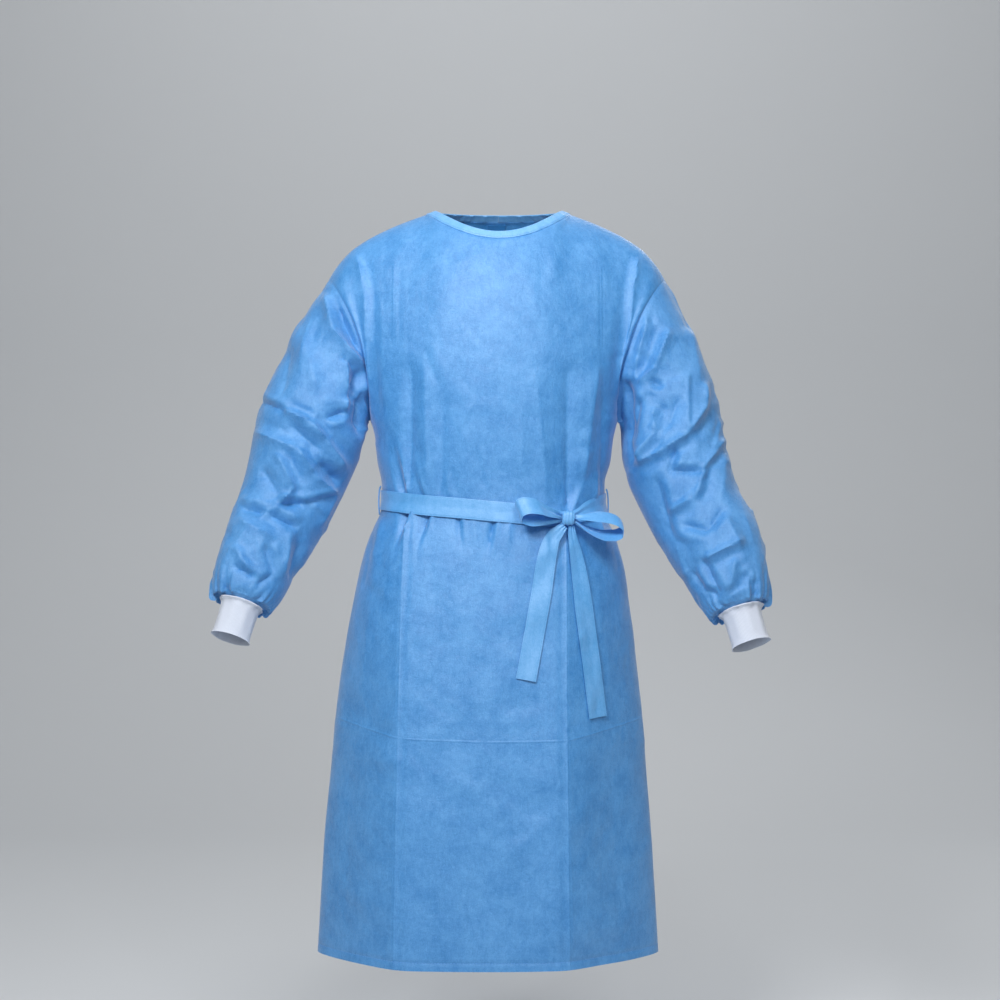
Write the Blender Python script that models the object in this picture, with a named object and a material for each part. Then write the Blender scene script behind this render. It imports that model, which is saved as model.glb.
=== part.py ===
"""Disposable surgical gown, standing in its worn form with nobody in it.

Each piece that a maker cuts and sews is its own object: front, two back halves that overlap, two
sleeves, two knit cuffs, the neck binding and its closing tab, the belt with its bow, and two thread
belt loops. Cloth is a thin wall, open at the neck, hem and cuffs.

Metres, +Z up. The front faces -Y. The origin is in the middle of the neck opening, level with the
top of the shoulders. "left" and "right" are the sides as seen from the front: left is -X.
"""

import math

import bpy
import numpy as np

# Driving sizes
HEM_HEIGHT = -1.176
CHEST_HEIGHT = -0.335
NECK_LEFT, NECK_RIGHT = -0.104, 0.099           # open neck, inside its binding
NECK_FRONT_REACH, NECK_BACK_REACH = 0.0999, 0.052
BINDING_SIDE, BINDING_FRONT, BINDING_BACK = 0.0140, 0.0065, 0.0100   # its width seen from above
SHOULDER_SEAM_Y = 0.012
RIDGE_RISE = 0.024        # how far the shoulder line would climb on over the neck hole
CLOTH = 0.0015
KNIT = 0.0022
SEAM_GAP = 0.0003
BINDING_PROUD = 0.0004    # how far the folded binding stands above the panels, on both faces
BINDING_NOTCH = 0.0008    # half the notch behind the neck
BELT_WIDTH = 0.031
BELT_AT_KNOT = 0.019      # where the belt gathers into the knot
BELT_CLEAR = 0.0010
RIBBON = 0.0012
THREAD_RADIUS = 0.0008
# Thread loop at a side seam: how far outside the body, and how far above the belt's middle
THREAD_LOOP = ((0.0026, 0.0215), (0.0056, 0.0170), (0.0074, 0.0080), (0.0080, 0.0), (0.0080, -0.0080),
               (0.0070, -0.0170), (0.0062, -0.0230))
TAB_CLOTH, TAB_CLEAR = 0.0010, 0.0006
TAB_ACROSS = (0.481, 0.497, 0.514)              # share of the body's width
TAB_RISES = (0.800, 0.85, 0.90, 0.95, 0.988)    # shares of the way up the back
KNOT_REACH, BELT_NARROWING = 0.006, 0.030       # half of what the knot hides, and the run beside it
BACK_LAYER = 0.0028       # how far the outer back half stands off where the halves overlap
UNDERARM_ROOM = 0.0016    # how far each sleeve starts off the body under the arm
UNDERARM_TOP, UNDERARM_RUN = 0.75, 0.25         # share of the armhole's rise where that room ends
GATHERS = 20              # round each wrist
GATHER_DEPTH = 0.0020

# Grid densities
SHOULDER_COLUMNS, NECK_COLUMNS = 10, 12
SLEEVE_COLUMNS = 2 * GATHERS
ARM_ROWS, ELBOW_ROW = {-1: 11, 1: 12}, 5
WAIST_ROW = 8             # where the front's two solids meet, behind the belt
CUFF_COLUMNS = 20
KNOT_RINGS, KNOT_SPOKES = 7, 14
LOOP_ROWS, TAIL_ROWS = 22, 20
THREAD_ROWS, THREAD_SPOKES = 9, 6
SEARCH_COLUMNS, SEARCH_ROWS = 161, 141          # fine grid in which the binding finds the form

FRONT, BACK = -1, 1
SHARP_ANGLE = math.radians(40)
TINY = 1e-6
NECK_SHARE = 0.30         # share of the top edge that each shoulder takes
NECK_STEP = (1 - 2 * NECK_SHARE) / NECK_COLUMNS
BACK_OVERLAP = 2 * NECK_STEP   # share of the body's width that each back half runs past the middle
LAYER_LEAD, LAYER_RUN = 0.14, 0.12              # where the outer half starts to stand off, and over what
LAYER_PAST, LAYER_OUT = 0.12, 0.10              # how far past its edge the belt comes back in, and over what
ARMHOLE_REACH = 0.07      # share of the width over which the armhole's pulls act
ROLL_FROM, ROLL_OVER = 0.14, 0.36               # where the shoulder's pulls turn into the neck's
NECK_SEARCH_FROM, NECK_SEARCH_ROWS = 0.4, 241
FOLDS_FROM_SIDE, FOLDS_FROM_TOP = 0.08, 0.10    # shares of the panel over which its folds fade in
FOLDS_FROM_ARMHOLE, SLEEVE_FOLDS_END, SLEEVE_FOLDS_FADE = 0.06, 0.9, 0.1

# Body grid: rows bunch at the waist and the shoulders, columns meet at the neck points
HEIGHTS = (HEM_HEIGHT, -1.070, -0.930, -0.800, -0.690, -0.610, -0.555, -0.515, -0.485, -0.462, -0.435,
           -0.400, -0.366)
RISES = (0.0, 0.12, 0.25, 0.38, 0.52, 0.66, 0.80, 0.90, 0.96, 1.0)
SHOULDER_SPAN = np.linspace(0.0, NECK_SHARE, SHOULDER_COLUMNS)
NECK_SPAN = np.linspace(NECK_SHARE, 1 - NECK_SHARE, NECK_COLUMNS + 1)
ALL_COLUMNS = np.concatenate((SHOULDER_SPAN, NECK_SPAN[1:-1], 1 - SHOULDER_SPAN[::-1]))
BELT_ROWS = len(HEIGHTS)   # of these grid rows, the ones that the belt may cross
SHORT_COLUMNS = SHOULDER_COLUMNS - 1 + NECK_COLUMNS // 2 - 2   # columns that a back half does without


def table(columns, rows):
    """Rows of numbers as a dictionary of named columns."""
    return dict(zip(columns.split(), np.array(rows, float).T))


# Body sections: an oval whose sides, front and back are given, with its front and back pressed flat
# between two folds by the share in the last column.
BODY = table("height left right front back side pressed", (
    (HEM_HEIGHT, -0.289, 0.251, -0.172, 0.150, -0.030, 0.60),
    (-1.070, -0.283, 0.245, -0.170, 0.147, -0.026, 0.60),
    (-0.975, -0.277, 0.239, -0.168, 0.144, -0.022, 0.58),
    (-0.880, -0.268, 0.232, -0.165, 0.140, -0.018, 0.55),
    (-0.790, -0.260, 0.225, -0.160, 0.136, -0.014, 0.50),
    (-0.690, -0.246, 0.214, -0.153, 0.131, -0.010, 0.40),
    (-0.620, -0.233, 0.205, -0.147, 0.127, -0.007, 0.30),
    (-0.570, -0.223, 0.196, -0.142, 0.123, -0.005, 0.20),
    (-0.520, -0.208, 0.183, -0.135, 0.118, -0.002, 0.10),
    (-0.490, -0.193, 0.171, -0.130, 0.114, 0.000, 0.05),
    (-0.462, -0.187, 0.166, -0.128, 0.112, 0.000, 0.00),
    (-0.435, -0.189, 0.167, -0.129, 0.113, 0.000, 0.00),
    (-0.400, -0.196, 0.175, -0.132, 0.116, 0.000, 0.00),
    (-0.366, -0.199, 0.179, -0.135, 0.119, 0.000, 0.00),
    (CHEST_HEIGHT, -0.206, 0.186, -0.137, 0.121, 0.000, 0.00),
))
SKIRT_FOLDS = (-0.160, 0.105)   # the two pressed lines down the skirt
OVAL_SQUARENESS = 0.88

# Shoulder line, from the neck point out to the sleeve seam
SHOULDER = table("out drop", (
    (0.014, -0.005), (0.050, -0.018), (0.078, -0.030), (0.104, -0.043),
    (0.133, -0.062), (0.149, -0.078), (0.162, -0.094), (0.172, -0.110),
))
RIGHT_SHOULDER_SCALE = 0.968

# Where the body columns leave the chest and reach the top edge: pulls of a cubic curve
ARMHOLE_LOW = {FRONT: (0.015, -0.078, 0.097), BACK: (0.015, 0.088, 0.097)}
ARMHOLE_HIGH = {FRONT: (0.014, -0.077, -0.003), BACK: (0.014, 0.080, -0.008)}
CHEST_UP = {FRONT: (0.0, -0.012, 0.105), BACK: (0.0, 0.010, 0.120)}
SHOULDER_ROLL = {FRONT: (0.0, -0.077, 0.002), BACK: (0.0, 0.080, -0.006)}
NECK_ROLL = {FRONT: (0.0, -0.142, -0.005), BACK: (0.0, 0.118, 0.008)}

# Largest folds of the body: a soft ridge (or trough, where height is negative) along a line
FOLDS = table("face x0 z0 x1 z1 height width", (
    (FRONT, -0.150, -0.390, -0.134, -0.430, 0.006, 0.012),
    (FRONT, -0.118, -0.415, -0.104, -0.435, 0.004, 0.010),
    (FRONT, 0.103, -0.395, 0.103, -0.446, -0.007, 0.012),
    (FRONT, 0.132, -0.395, 0.120, -0.440, 0.006, 0.012),
    (FRONT, -0.108, -0.240, -0.085, -0.380, -0.005, 0.022),
    (FRONT, 0.085, -0.240, 0.080, -0.380, -0.005, 0.022),
    (FRONT, -0.142, -0.525, -0.160, -1.160, 0.004, 0.012),
    (FRONT, 0.103, -0.535, 0.106, -1.160, 0.004, 0.012),
    (FRONT, -0.150, -0.520, -0.168, -0.570, -0.005, 0.010),
    (FRONT, -0.010, -0.528, -0.012, -0.570, -0.004, 0.010),
    (BACK, -0.100, -0.380, -0.092, -0.420, 0.006, 0.014),
    (BACK, 0.090, -0.370, 0.082, -0.420, 0.006, 0.014),
    (BACK, -0.080, -0.515, -0.098, -0.600, 0.006, 0.014),
    (BACK, 0.105, -0.515, 0.120, -0.600, 0.006, 0.014),
    (BACK, 0.040, -0.515, 0.042, -0.570, -0.005, 0.012),
))

# Sleeve sections down the arm: middle, half sizes across and front to back, and the lean of the arm
# out to the side and forward in degrees. Leaning left is worked out from the side.
ARM_COLUMNS = "x y z half_width half_depth lean forward gather"
SLEEVES = {
    -1: table(ARM_COLUMNS, (
        (-0.2940, -0.002, -0.3270, 0.0890, 0.084, 16.0, 4, 0.0),
        (-0.3366, -0.030, -0.4621, 0.0752, 0.072, 23.6, 14, 0.0),
        (-0.3744, -0.075, -0.5501, 0.0625, 0.060, 22.3, 22, 0.0),
        (-0.3966, -0.102, -0.6110, 0.0510, 0.048, 18.6, 24, 0.6),
        (-0.3990, -0.108, -0.6220, 0.0440, 0.041, 13.0, 30, 1.0),
        (-0.3988, -0.108, -0.6178, 0.0385, 0.038, 15.6, 22, 0.6),
        (-0.3992, -0.108, -0.6222, 0.0316, 0.0316, 15.6, 20, 0.0),
    )),
    1: table(ARM_COLUMNS, (
        (0.2705, -0.002, -0.3290, 0.0825, 0.082, 16.5, 4, 0.0),
        (0.2743, -0.012, -0.3755, 0.0828, 0.080, 10.4, 8, 0.0),
        (0.3044, -0.035, -0.4694, 0.0767, 0.072, 23.0, 15, 0.0),
        (0.3433, -0.078, -0.5483, 0.0694, 0.063, 24.8, 22, 0.0),
        (0.3665, -0.102, -0.6180, 0.0529, 0.049, 18.0, 24, 0.6),
        (0.3695, -0.108, -0.6325, 0.0440, 0.041, 14.0, 30, 1.0),
        (0.3706, -0.108, -0.6274, 0.0385, 0.038, 14.7, 22, 0.6),
        (0.3714, -0.108, -0.6317, 0.0316, 0.0316, 14.7, 20, 0.0),
    )),
}
WRIST_SECTIONS = 4              # of these, the last ones, from the start of the gathers
ARM_RADIUS, ARM_LENGTH = 0.075, 0.60

# Largest folds of the sleeves, on the cloth laid flat: degrees round the arm (0 outer, 90 front,
# 180 inner) and share of the way down
SLEEVE_FOLDS = {
    -1: table("turn0 down0 turn1 down1 height width", (
        (65, 0.02, 110, 0.20, 0.008, 0.018),
        (120, 0.12, 160, 0.34, -0.009, 0.022),
        (40, 0.30, 120, 0.40, 0.007, 0.016),
        (95, 0.42, 150, 0.55, -0.007, 0.018),
        (60, 0.50, 100, 0.62, 0.006, 0.016),
        (90, 0.68, 140, 0.80, -0.005, 0.016),
        (230, 0.30, 300, 0.42, 0.007, 0.018),
        (220, 0.50, 280, 0.60, -0.006, 0.018),
    )),
    1: table("turn0 down0 turn1 down1 height width", (
        (65, 0.02, 110, 0.22, 0.007, 0.018),
        (120, 0.12, 160, 0.36, -0.009, 0.022),
        (30, 0.30, 130, 0.42, 0.008, 0.016),
        (70, 0.44, 140, 0.50, -0.006, 0.016),
        (60, 0.60, 120, 0.74, 0.007, 0.018),
        (110, 0.66, 150, 0.82, -0.006, 0.018),
        (230, 0.32, 300, 0.40, 0.007, 0.018),
        (220, 0.52, 280, 0.62, -0.006, 0.018),
    )),
}

# Knit cuffs: how far along, and the outer radius there, with the flared rim at the sleeve. Each starts
# at its sleeve's last section.
CUFF = table("along radius", (
    (0.000, 0.0356), (0.004, 0.0322), (0.010, 0.0295), (0.034, 0.0285), (0.052, 0.0290), (0.058, 0.0312),
))

# Belt: height of its middle along the front, across the body
BELT_FRONT = table("x height", (
    (-0.187, -0.462), (-0.146, -0.467), (-0.106, -0.4712), (-0.068, -0.4742), (-0.023, -0.4784),
    (0.017, -0.4820), (0.104, -0.4895), (0.135, -0.4790), (0.166, -0.4670),
))
BELT_BACK_HEIGHT = -0.4640
KNOT = np.array((0.1049, -0.1228, -0.4900))
KNOT_HALF = np.array((0.0098, 0.0075, 0.0112))

BOW_LOOPS = {
    "bow_loop_left": (table("x y z width", (
        (0.0925, -0.1190, -0.4868, 0.012), (0.0830, -0.1320, -0.4830, 0.017),
        (0.0709, -0.1450, -0.4784, 0.024), (0.0577, -0.1560, -0.4725, 0.030),
        (0.0424, -0.1610, -0.4706, 0.031), (0.0300, -0.1590, -0.4750, 0.031),
        (0.0278, -0.1540, -0.4825, 0.031), (0.0350, -0.1490, -0.4880, 0.031),
        (0.0480, -0.1440, -0.4905, 0.030), (0.0640, -0.1385, -0.4905, 0.025),
        (0.0800, -0.1290, -0.4908, 0.018), (0.0922, -0.1180, -0.4912, 0.012),
    )), (0.33, -0.50, -0.80)),
    "bow_loop_right": (table("x y z width", (
        (0.1152, -0.1215, -0.4885, 0.012), (0.1272, -0.1240, -0.4880, 0.019),
        (0.1400, -0.1280, -0.4878, 0.026), (0.1520, -0.1300, -0.4880, 0.030),
        (0.1656, -0.1310, -0.4897, 0.031), (0.1786, -0.1310, -0.4938, 0.031),
        (0.1880, -0.1290, -0.5030, 0.031), (0.1870, -0.1270, -0.5110, 0.031),
        (0.1760, -0.1250, -0.5165, 0.031), (0.1620, -0.1235, -0.5170, 0.030),
        (0.1487, -0.1230, -0.5138, 0.026), (0.1314, -0.1220, -0.5061, 0.018),
        (0.1156, -0.1215, -0.4950, 0.012),
    )), (0.06, -0.83, -0.55)),
}
# Tails hang on the skirt: middle, width and how far they stand off the cloth
TAILS = {
    "tie_tail_left": table("x z width off", (
        (0.0990, -0.5018, 0.011, 0.013), (0.0905, -0.5100, 0.018, 0.010), (0.0800, -0.5230, 0.024, 0.006),
        (0.0740, -0.5400, 0.028, 0.004), (0.0690, -0.5650, 0.030, 0.002), (0.0640, -0.6000, 0.031, 0.001),
        (0.0560, -0.6450, 0.031, 0.001), (0.0470, -0.6950, 0.031, 0.001), (0.0392, -0.7360, 0.031, 0.001),
    )),
    "tie_tail_right": table("x z width off", (
        (0.1100, -0.5020, 0.009, 0.013), (0.1105, -0.5120, 0.012, 0.011), (0.1130, -0.5260, 0.015, 0.007),
        (0.1175, -0.5480, 0.020, 0.004), (0.1235, -0.5850, 0.025, 0.002), (0.1300, -0.6350, 0.028, 0.001),
        (0.1375, -0.6900, 0.028, 0.001), (0.1440, -0.7400, 0.028, 0.001), (0.1510, -0.7970, 0.028, 0.001),
    )),
}


def smooth(t):
    """Eases from 0 to 1 as t goes from 0 to 1, flat at both ends."""
    t = np.clip(t, 0.0, 1.0)
    return t * t * (3.0 - 2.0 * t)


def through(knots, values, at):
    """Smooth curve through the rows with no overshoot: cubic pieces, and at each row the harmonic
    mean of the slopes on its two sides, or none where they differ in sign."""
    knots, values, at = np.asarray(knots, float), np.asarray(values, float), np.asarray(at, float)
    if knots[0] > knots[-1]:
        knots, values = knots[::-1], values[::-1]
    spare = (1,) * (values.ndim - 1)
    runs = np.diff(values, axis=0) / np.diff(knots).reshape((-1,) + spare)
    before, after = runs[:-1], runs[1:]
    same_way = before * after > 0
    mean = np.where(same_way, 2 * before * after / np.where(same_way, before + after, 1.0), 0.0)
    slopes = np.concatenate((runs[:1], mean, runs[-1:]))
    i = np.clip(np.searchsorted(knots, at) - 1, 0, len(knots) - 2)
    step = knots[i + 1] - knots[i]
    t = np.clip((at - knots[i]) / step, 0.0, 1.0)
    step, t = step.reshape(step.shape + spare), t.reshape(t.shape + spare)
    return ((1 + 2 * t) * (1 - t) ** 2 * values[i] + t * (1 - t) ** 2 * step * slopes[i]
            + t * t * (3 - 2 * t) * values[i + 1] + t * t * (t - 1) * step * slopes[i + 1])


def ridges(folds, a, b):
    """Height of all folds at (a, b): each is its line's height, fading with distance from the line."""
    total = np.zeros(np.broadcast(a, b).shape)
    for a0, b0, a1, b1, height, width in folds:
        run_a, run_b = a1 - a0, b1 - b0
        t = np.clip(((a - a0) * run_a + (b - b0) * run_b) / (run_a ** 2 + run_b ** 2), 0.0, 1.0)
        away = (a - a0 - t * run_a) ** 2 + (b - b0 - t * run_b) ** 2
        total = total + height * np.exp(-away / width ** 2)
    return total


def unit(vectors):
    """Each vector divided by its length."""
    return vectors / np.linalg.norm(vectors, axis=-1, keepdims=True)


def section(face, across, height):
    """Body outline at a height: across runs from 0 at the left side seam to 1 at the right one."""
    row = {name: through(BODY["height"], BODY[name], height) for name in BODY}
    middle, half = (row["left"] + row["right"]) / 2, (row["right"] - row["left"]) / 2
    angle = math.pi * across
    x = middle - half * np.cos(angle)
    oval = np.clip(np.sin(angle), 0, 1) ** OVAL_SQUARENESS
    left_run = (x - row["left"]) / (SKIRT_FOLDS[0] - row["left"])
    right_run = (row["right"] - x) / (row["right"] - SKIRT_FOLDS[1])
    flat = np.minimum(1.0, np.minimum(left_run, right_run))
    depth = row["front"] if face == FRONT else row["back"]
    share = (1 - row["pressed"]) * oval + row["pressed"] * flat
    y = row["side"] + (depth - row["side"]) * share
    return np.stack(np.broadcast_arrays(x, y, height + 0 * x), axis=-1)


def ridge_line(across):
    """Top of the form: left shoulder line, a low rise over the neck hole, right shoulder line."""
    steps = np.arange(len(SHOULDER["out"])) / (len(SHOULDER["out"]) - 1)
    left = np.clip(1 - across / NECK_SHARE, 0, 1)
    right = np.clip((across - 1) / NECK_SHARE + 1, 0, 1)
    turn = math.pi * np.clip((across - NECK_SHARE) / (1 - 2 * NECK_SHARE), 0, 1)
    start_out, start_drop = SHOULDER["out"][0], SHOULDER["drop"][0]
    middle, half = (NECK_LEFT + NECK_RIGHT) / 2, (NECK_RIGHT - NECK_LEFT) / 2 + start_out
    x = (middle - half * np.cos(turn) - (through(steps, SHOULDER["out"], left) - start_out)
         + RIGHT_SHOULDER_SCALE * (through(steps, SHOULDER["out"], right) - start_out))
    z = (through(steps, SHOULDER["drop"], left) + through(steps, SHOULDER["drop"], right) - start_drop
         + RIDGE_RISE * np.sin(turn) ** 2)
    return np.stack((x, SHOULDER_SEAM_Y + 0 * x, z), axis=-1)


def to_ridge(face, across, rise):
    """Front or back above the chest: each column is a cubic curve from the chest to the ridge line."""
    inward = np.where(across < 0.5, 1.0, -1.0)[..., None]
    side = inward * np.array((1.0, 0.0, 0.0)) + np.array((0.0, 1.0, 1.0))
    from_side = np.minimum(across, 1 - across)[..., None]
    near_armhole = np.exp(-(from_side / ARMHOLE_REACH) ** 2)
    pull_low = near_armhole * np.array(ARMHOLE_LOW[face]) + (1 - near_armhole) * np.array(CHEST_UP[face])
    to_middle = smooth((from_side - ROLL_FROM) / ROLL_OVER)
    roll = (1 - to_middle) * np.array(SHOULDER_ROLL[face]) + to_middle * np.array(NECK_ROLL[face])
    pull_top = near_armhole * np.array(ARMHOLE_HIGH[face]) + (1 - near_armhole) * roll
    low, top, t = section(face, across, CHEST_HEIGHT), ridge_line(across), rise[..., None]
    return ((1 - t) ** 3 * low + 3 * (1 - t) ** 2 * t * (low + pull_low * side)
            + 3 * (1 - t) * t ** 2 * (top + pull_top * side) + t ** 3 * top)


def neck_oval(ahead, share):
    """Middle, half width and reach of the neck's outline seen from above, on its front or back part:
    share 0 is the open edge, 1 the binding's outer edge, where the panels end."""
    middle, half = (NECK_LEFT + NECK_RIGHT) / 2, (NECK_RIGHT - NECK_LEFT) / 2 + share * BINDING_SIDE
    reach = np.where(ahead, NECK_FRONT_REACH + share * BINDING_FRONT, NECK_BACK_REACH + share * BINDING_BACK)
    return middle, half, reach


def neck_cut(face, across):
    """How far up its column the neck opening's edge lies: 1 where a column reaches the shoulder."""
    rise = np.linspace(NECK_SEARCH_FROM, 1, NECK_SEARCH_ROWS)[:, None]
    points = to_ridge(face, *np.broadcast_arrays(across[None, :], rise))
    middle, half, reach = neck_oval(points[..., 1] < SHOULDER_SEAM_Y, 1.0)
    outside = np.hypot((points[..., 0] - middle) / half, (points[..., 1] - SHOULDER_SEAM_Y) / reach) - 1
    last = np.argmax(outside < 0, axis=0)
    column = np.arange(len(across))
    above, below = outside[last, column], outside[last - 1, column]
    found = rise[last - 1, 0] + (rise[1, 0] - rise[0, 0]) * below / np.where(last > 0, below - above, 1.0)
    inside_neck = (last > 0) & (np.minimum(across, 1 - across) > NECK_SHARE + TINY)
    return np.where(inside_neck, found, 1.0)


def upper(face, across, rise):
    """Body above the chest, for one row of across values: columns end at the shoulder or the neck."""
    cut = rise[:, None] * neck_cut(face, across)[None, :]
    return to_ridge(face, *np.broadcast_arrays(across[None, :], cut))


def body_grid(face, across, heights, rises):
    """Rows of the body's surface from the hem up to the top edge, one point for each across."""
    lower = section(face, across[None, :], np.asarray(heights)[:, None])
    above = upper(face, across, np.asarray(rises))
    return np.concatenate((lower, above))


def normals(points, wrap=False):
    """Unit normals of a grid, from the differences to each point's neighbours."""
    down = np.gradient(points, axis=0)
    round_ = np.roll(points, -1, 1) - np.roll(points, 1, 1) if wrap else np.gradient(points, axis=1)
    return unit(np.cross(round_, down))


def folded(face, grid, across):
    """The body's surface with its largest folds, none at its edges, and its outward normals, which
    lean neither forward nor back along the seams, so that two walls that meet there are parallel."""
    outward = normals(grid) * (1 if face == FRONT else -1)
    rows = np.array([FOLDS[name] for name in list(FOLDS)[1:]]).T[FOLDS["face"] == face]
    from_side = np.minimum(across, 1 - across)
    from_ends = np.linspace(0, 1, len(grid))[:, None]
    inside = smooth(from_side / FOLDS_FROM_SIDE) * smooth((1 - from_ends) / FOLDS_FROM_TOP)
    height = ridges(rows, grid[..., 0], grid[..., 2]) * inside
    grid = grid + outward * height[..., None]
    outward = normals(grid) * (1 if face == FRONT else -1)
    at_side = (from_side == 0)[None, :] & (grid[..., 2] <= CHEST_HEIGHT)
    at_shoulder = (from_side <= NECK_SHARE + TINY)[None, :] & (from_ends == 1)
    outward[at_side | at_shoulder, 1] = 0.0
    return grid, unit(outward)


def material(name, colour, roughness):
    """Plain material of one colour."""
    found = bpy.data.materials.get(name) or bpy.data.materials.new(name)
    found.use_nodes = True
    shader = found.node_tree.nodes["Principled BSDF"]
    shader.inputs["Base Color"].default_value = (*colour, 1.0)
    shader.inputs["Roughness"].default_value = roughness
    shader.inputs["Metallic"].default_value = 0.0
    return found


def finish(name, points, faces, stuff):
    """Puts points and faces in a mesh object, turned so that its faces point outwards."""
    points = np.asarray(points).reshape(-1, 3)
    corners = np.array([face[:3] for face in faces] + [(f[0], f[2], f[3]) for f in faces if len(f) == 4])
    volume = np.einsum("ij,ij->i", points[corners[:, 0]],
                       np.cross(points[corners[:, 1]], points[corners[:, 2]])).sum()
    if volume < 0:
        faces = [tuple(reversed(face)) for face in faces]
    mesh = bpy.data.meshes.new(name)
    mesh.from_pydata(points.tolist(), [], faces)
    mesh.materials.append(stuff)
    mesh.shade_smooth()
    mesh.set_sharp_from_angle(angle=SHARP_ANGLE)
    piece = bpy.data.objects.new(name, mesh)
    bpy.context.scene.collection.objects.link(piece)
    return piece


def shell(name, outer, inner, stuff, wrap=False):
    """Closed wall between two grids, its rims joined. wrap closes the columns round a tube."""
    rows, columns = outer.shape[:2]
    behind = rows * columns
    faces = []
    spans = columns if wrap else columns - 1
    for r in range(rows - 1):
        for c in range(spans):
            n = (c + 1) % columns
            a, b, e, d = r * columns + c, r * columns + n, (r + 1) * columns + n, (r + 1) * columns + c
            faces += [(a, b, e, d), (behind + d, behind + e, behind + b, behind + a)]
    for c in range(spans):
        n = (c + 1) % columns
        last = (rows - 1) * columns
        faces += [(n, c, behind + c, behind + n), (last + c, last + n, behind + last + n, behind + last + c)]
    if not wrap:
        for r in range(rows - 1):
            a, d = r * columns, (r + 1) * columns
            b, e = a + columns - 1, d + columns - 1
            faces += [(a, d, behind + d, behind + a), (e, b, behind + b, behind + e)]
    return finish(name, np.concatenate((outer.reshape(-1, 3), inner.reshape(-1, 3))), faces, stuff)


def solid_tube(name, rings, stuff):
    """Solid rod from a grid of rings, closed by a fan at each end."""
    count, round_ = rings.shape[:2]
    points = np.concatenate((rings.reshape(-1, 3), rings[[0, -1]].mean(axis=1)))
    faces = []
    last, start_middle = (count - 1) * round_, count * round_
    for c in range(round_):
        n = (c + 1) % round_
        faces += [(row + c, row + n, row + round_ + n, row + round_ + c) for row in range(0, last, round_)]
        faces += [(n, c, start_middle), (last + c, last + n, start_middle + 1)]
    return finish(name, points, faces, stuff)


def inset(grid, by):
    """Draws a panel's four edges in by the seam gap, along the cloth."""
    grid = grid.copy()
    for edge, beside in (((0,), (1,)), ((-1,), (-2,))):
        grid[edge] += unit(grid[beside] - grid[edge]) * by
    for edge, beside in ((0, 1), (-1, -2)):
        grid[:, edge] += unit(grid[:, beside] - grid[:, edge]) * by
    return grid


def panel(name, face, across, stuff, layer=None, part=slice(None)):
    """One piece of the body, its outer points on the garment's form and its inner ones a wall in, or
    some of its rows."""
    grid, outward = folded(face, body_grid(face, across, HEIGHTS, RISES), across)
    if layer is not None:
        grid = grid + outward * layer(across)[None, :, None]
    outer = inset(grid[part], SEAM_GAP / 2)
    return shell(name, outer, outer - outward[part] * CLOTH, stuff)


def back_layer(across):
    """How far the outer back half stands off: nothing out at the side, a cloth's room at the middle."""
    return BACK_LAYER * smooth((across - 0.5 + BACK_OVERLAP + LAYER_LEAD) / LAYER_RUN)


def armhole(side, turn):
    """The panels' own edge round the arm, corner to corner: turn 0 at the shoulder, 180 under the
    arm, front first. Under the arm it is moved out from the body by a seam's room."""
    turn = np.asarray(turn, float) % 360
    rise = 1 - np.where(turn <= 180, turn, 360 - turn) / 180
    edges = []
    for face in (FRONT, BACK):
        corners = to_ridge(face, np.full(len(RISES), 0.0 if side < 0 else 1.0), np.array(RISES))
        edges.append(np.stack([np.interp(rise, RISES, corners[:, i]) for i in range(3)], axis=-1))
    edge = np.where((turn <= 180)[..., None], edges[0], edges[1])
    room = UNDERARM_ROOM * smooth((UNDERARM_TOP - rise) / UNDERARM_RUN)
    return edge + np.array((side, 0.0, 0.0)) * room[..., None]


def arm_section(side, index):
    """One section of a sleeve: its middle, its two directions square to the arm, out and ahead, and
    its half sizes along them."""
    row = {name: SLEEVES[side][name][index] for name in SLEEVES[side]}
    lean, forward = math.radians(row["lean"]), math.radians(row["forward"])
    outward = np.array((side * math.cos(lean), 0.0, math.sin(lean)))
    ahead = np.array((0.0, -math.cos(forward), math.sin(forward)))
    return np.array((row["x"], row["y"], row["z"])), outward, ahead, row["half_width"], row["half_depth"]


def ring(side, index, turn):
    """Sleeve section: an oval square to the arm, turn 0 outside, 90 in front, 180 inside."""
    middle, outward, ahead, half_width, half_depth = arm_section(side, index)
    angle = np.radians(turn)[:, None]
    return middle + outward * half_width * np.cos(angle) + ahead * half_depth * np.sin(angle)


def sleeve_grid(side, turn, down):
    """Sleeve surface: smooth lengthwise curves through the armhole and each section."""
    rows = SLEEVES[side]
    keys = np.array([armhole(side, turn)] + [ring(side, i, turn) for i in range(len(rows["x"]))])
    middles = keys.mean(axis=1)
    radius = np.linalg.norm(keys - middles[:, None], axis=-1).mean(axis=1)
    steps = np.hypot(np.linalg.norm(np.diff(middles, axis=0), axis=1), np.diff(radius))
    knots = np.concatenate(((0,), np.cumsum(steps)))
    knots /= knots[-1]
    grid = through(knots, keys, down)
    gather = through(knots, np.concatenate(((0,), rows["gather"])), down)
    return grid, gather, knots


def clear_start(grid, by):
    """Moves a tube's first row along the tube by the seam gap."""
    grid = grid.copy()
    grid[0] += unit(grid[1] - grid[0]) * by
    return grid


# Start from an empty scene
for old in list(bpy.data.objects):
    bpy.data.objects.remove(old, do_unlink=True)

BLUE = material("blue_nonwoven", (0.12, 0.36, 0.76), 0.62)
TIE_BLUE = material("blue_tie", (0.14, 0.40, 0.80), 0.55)
TAB_BLUE = material("tab_blue", (0.02, 0.12, 0.36), 0.80)
WHITE = material("white_knit", (0.72, 0.76, 0.84), 0.85)

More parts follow.
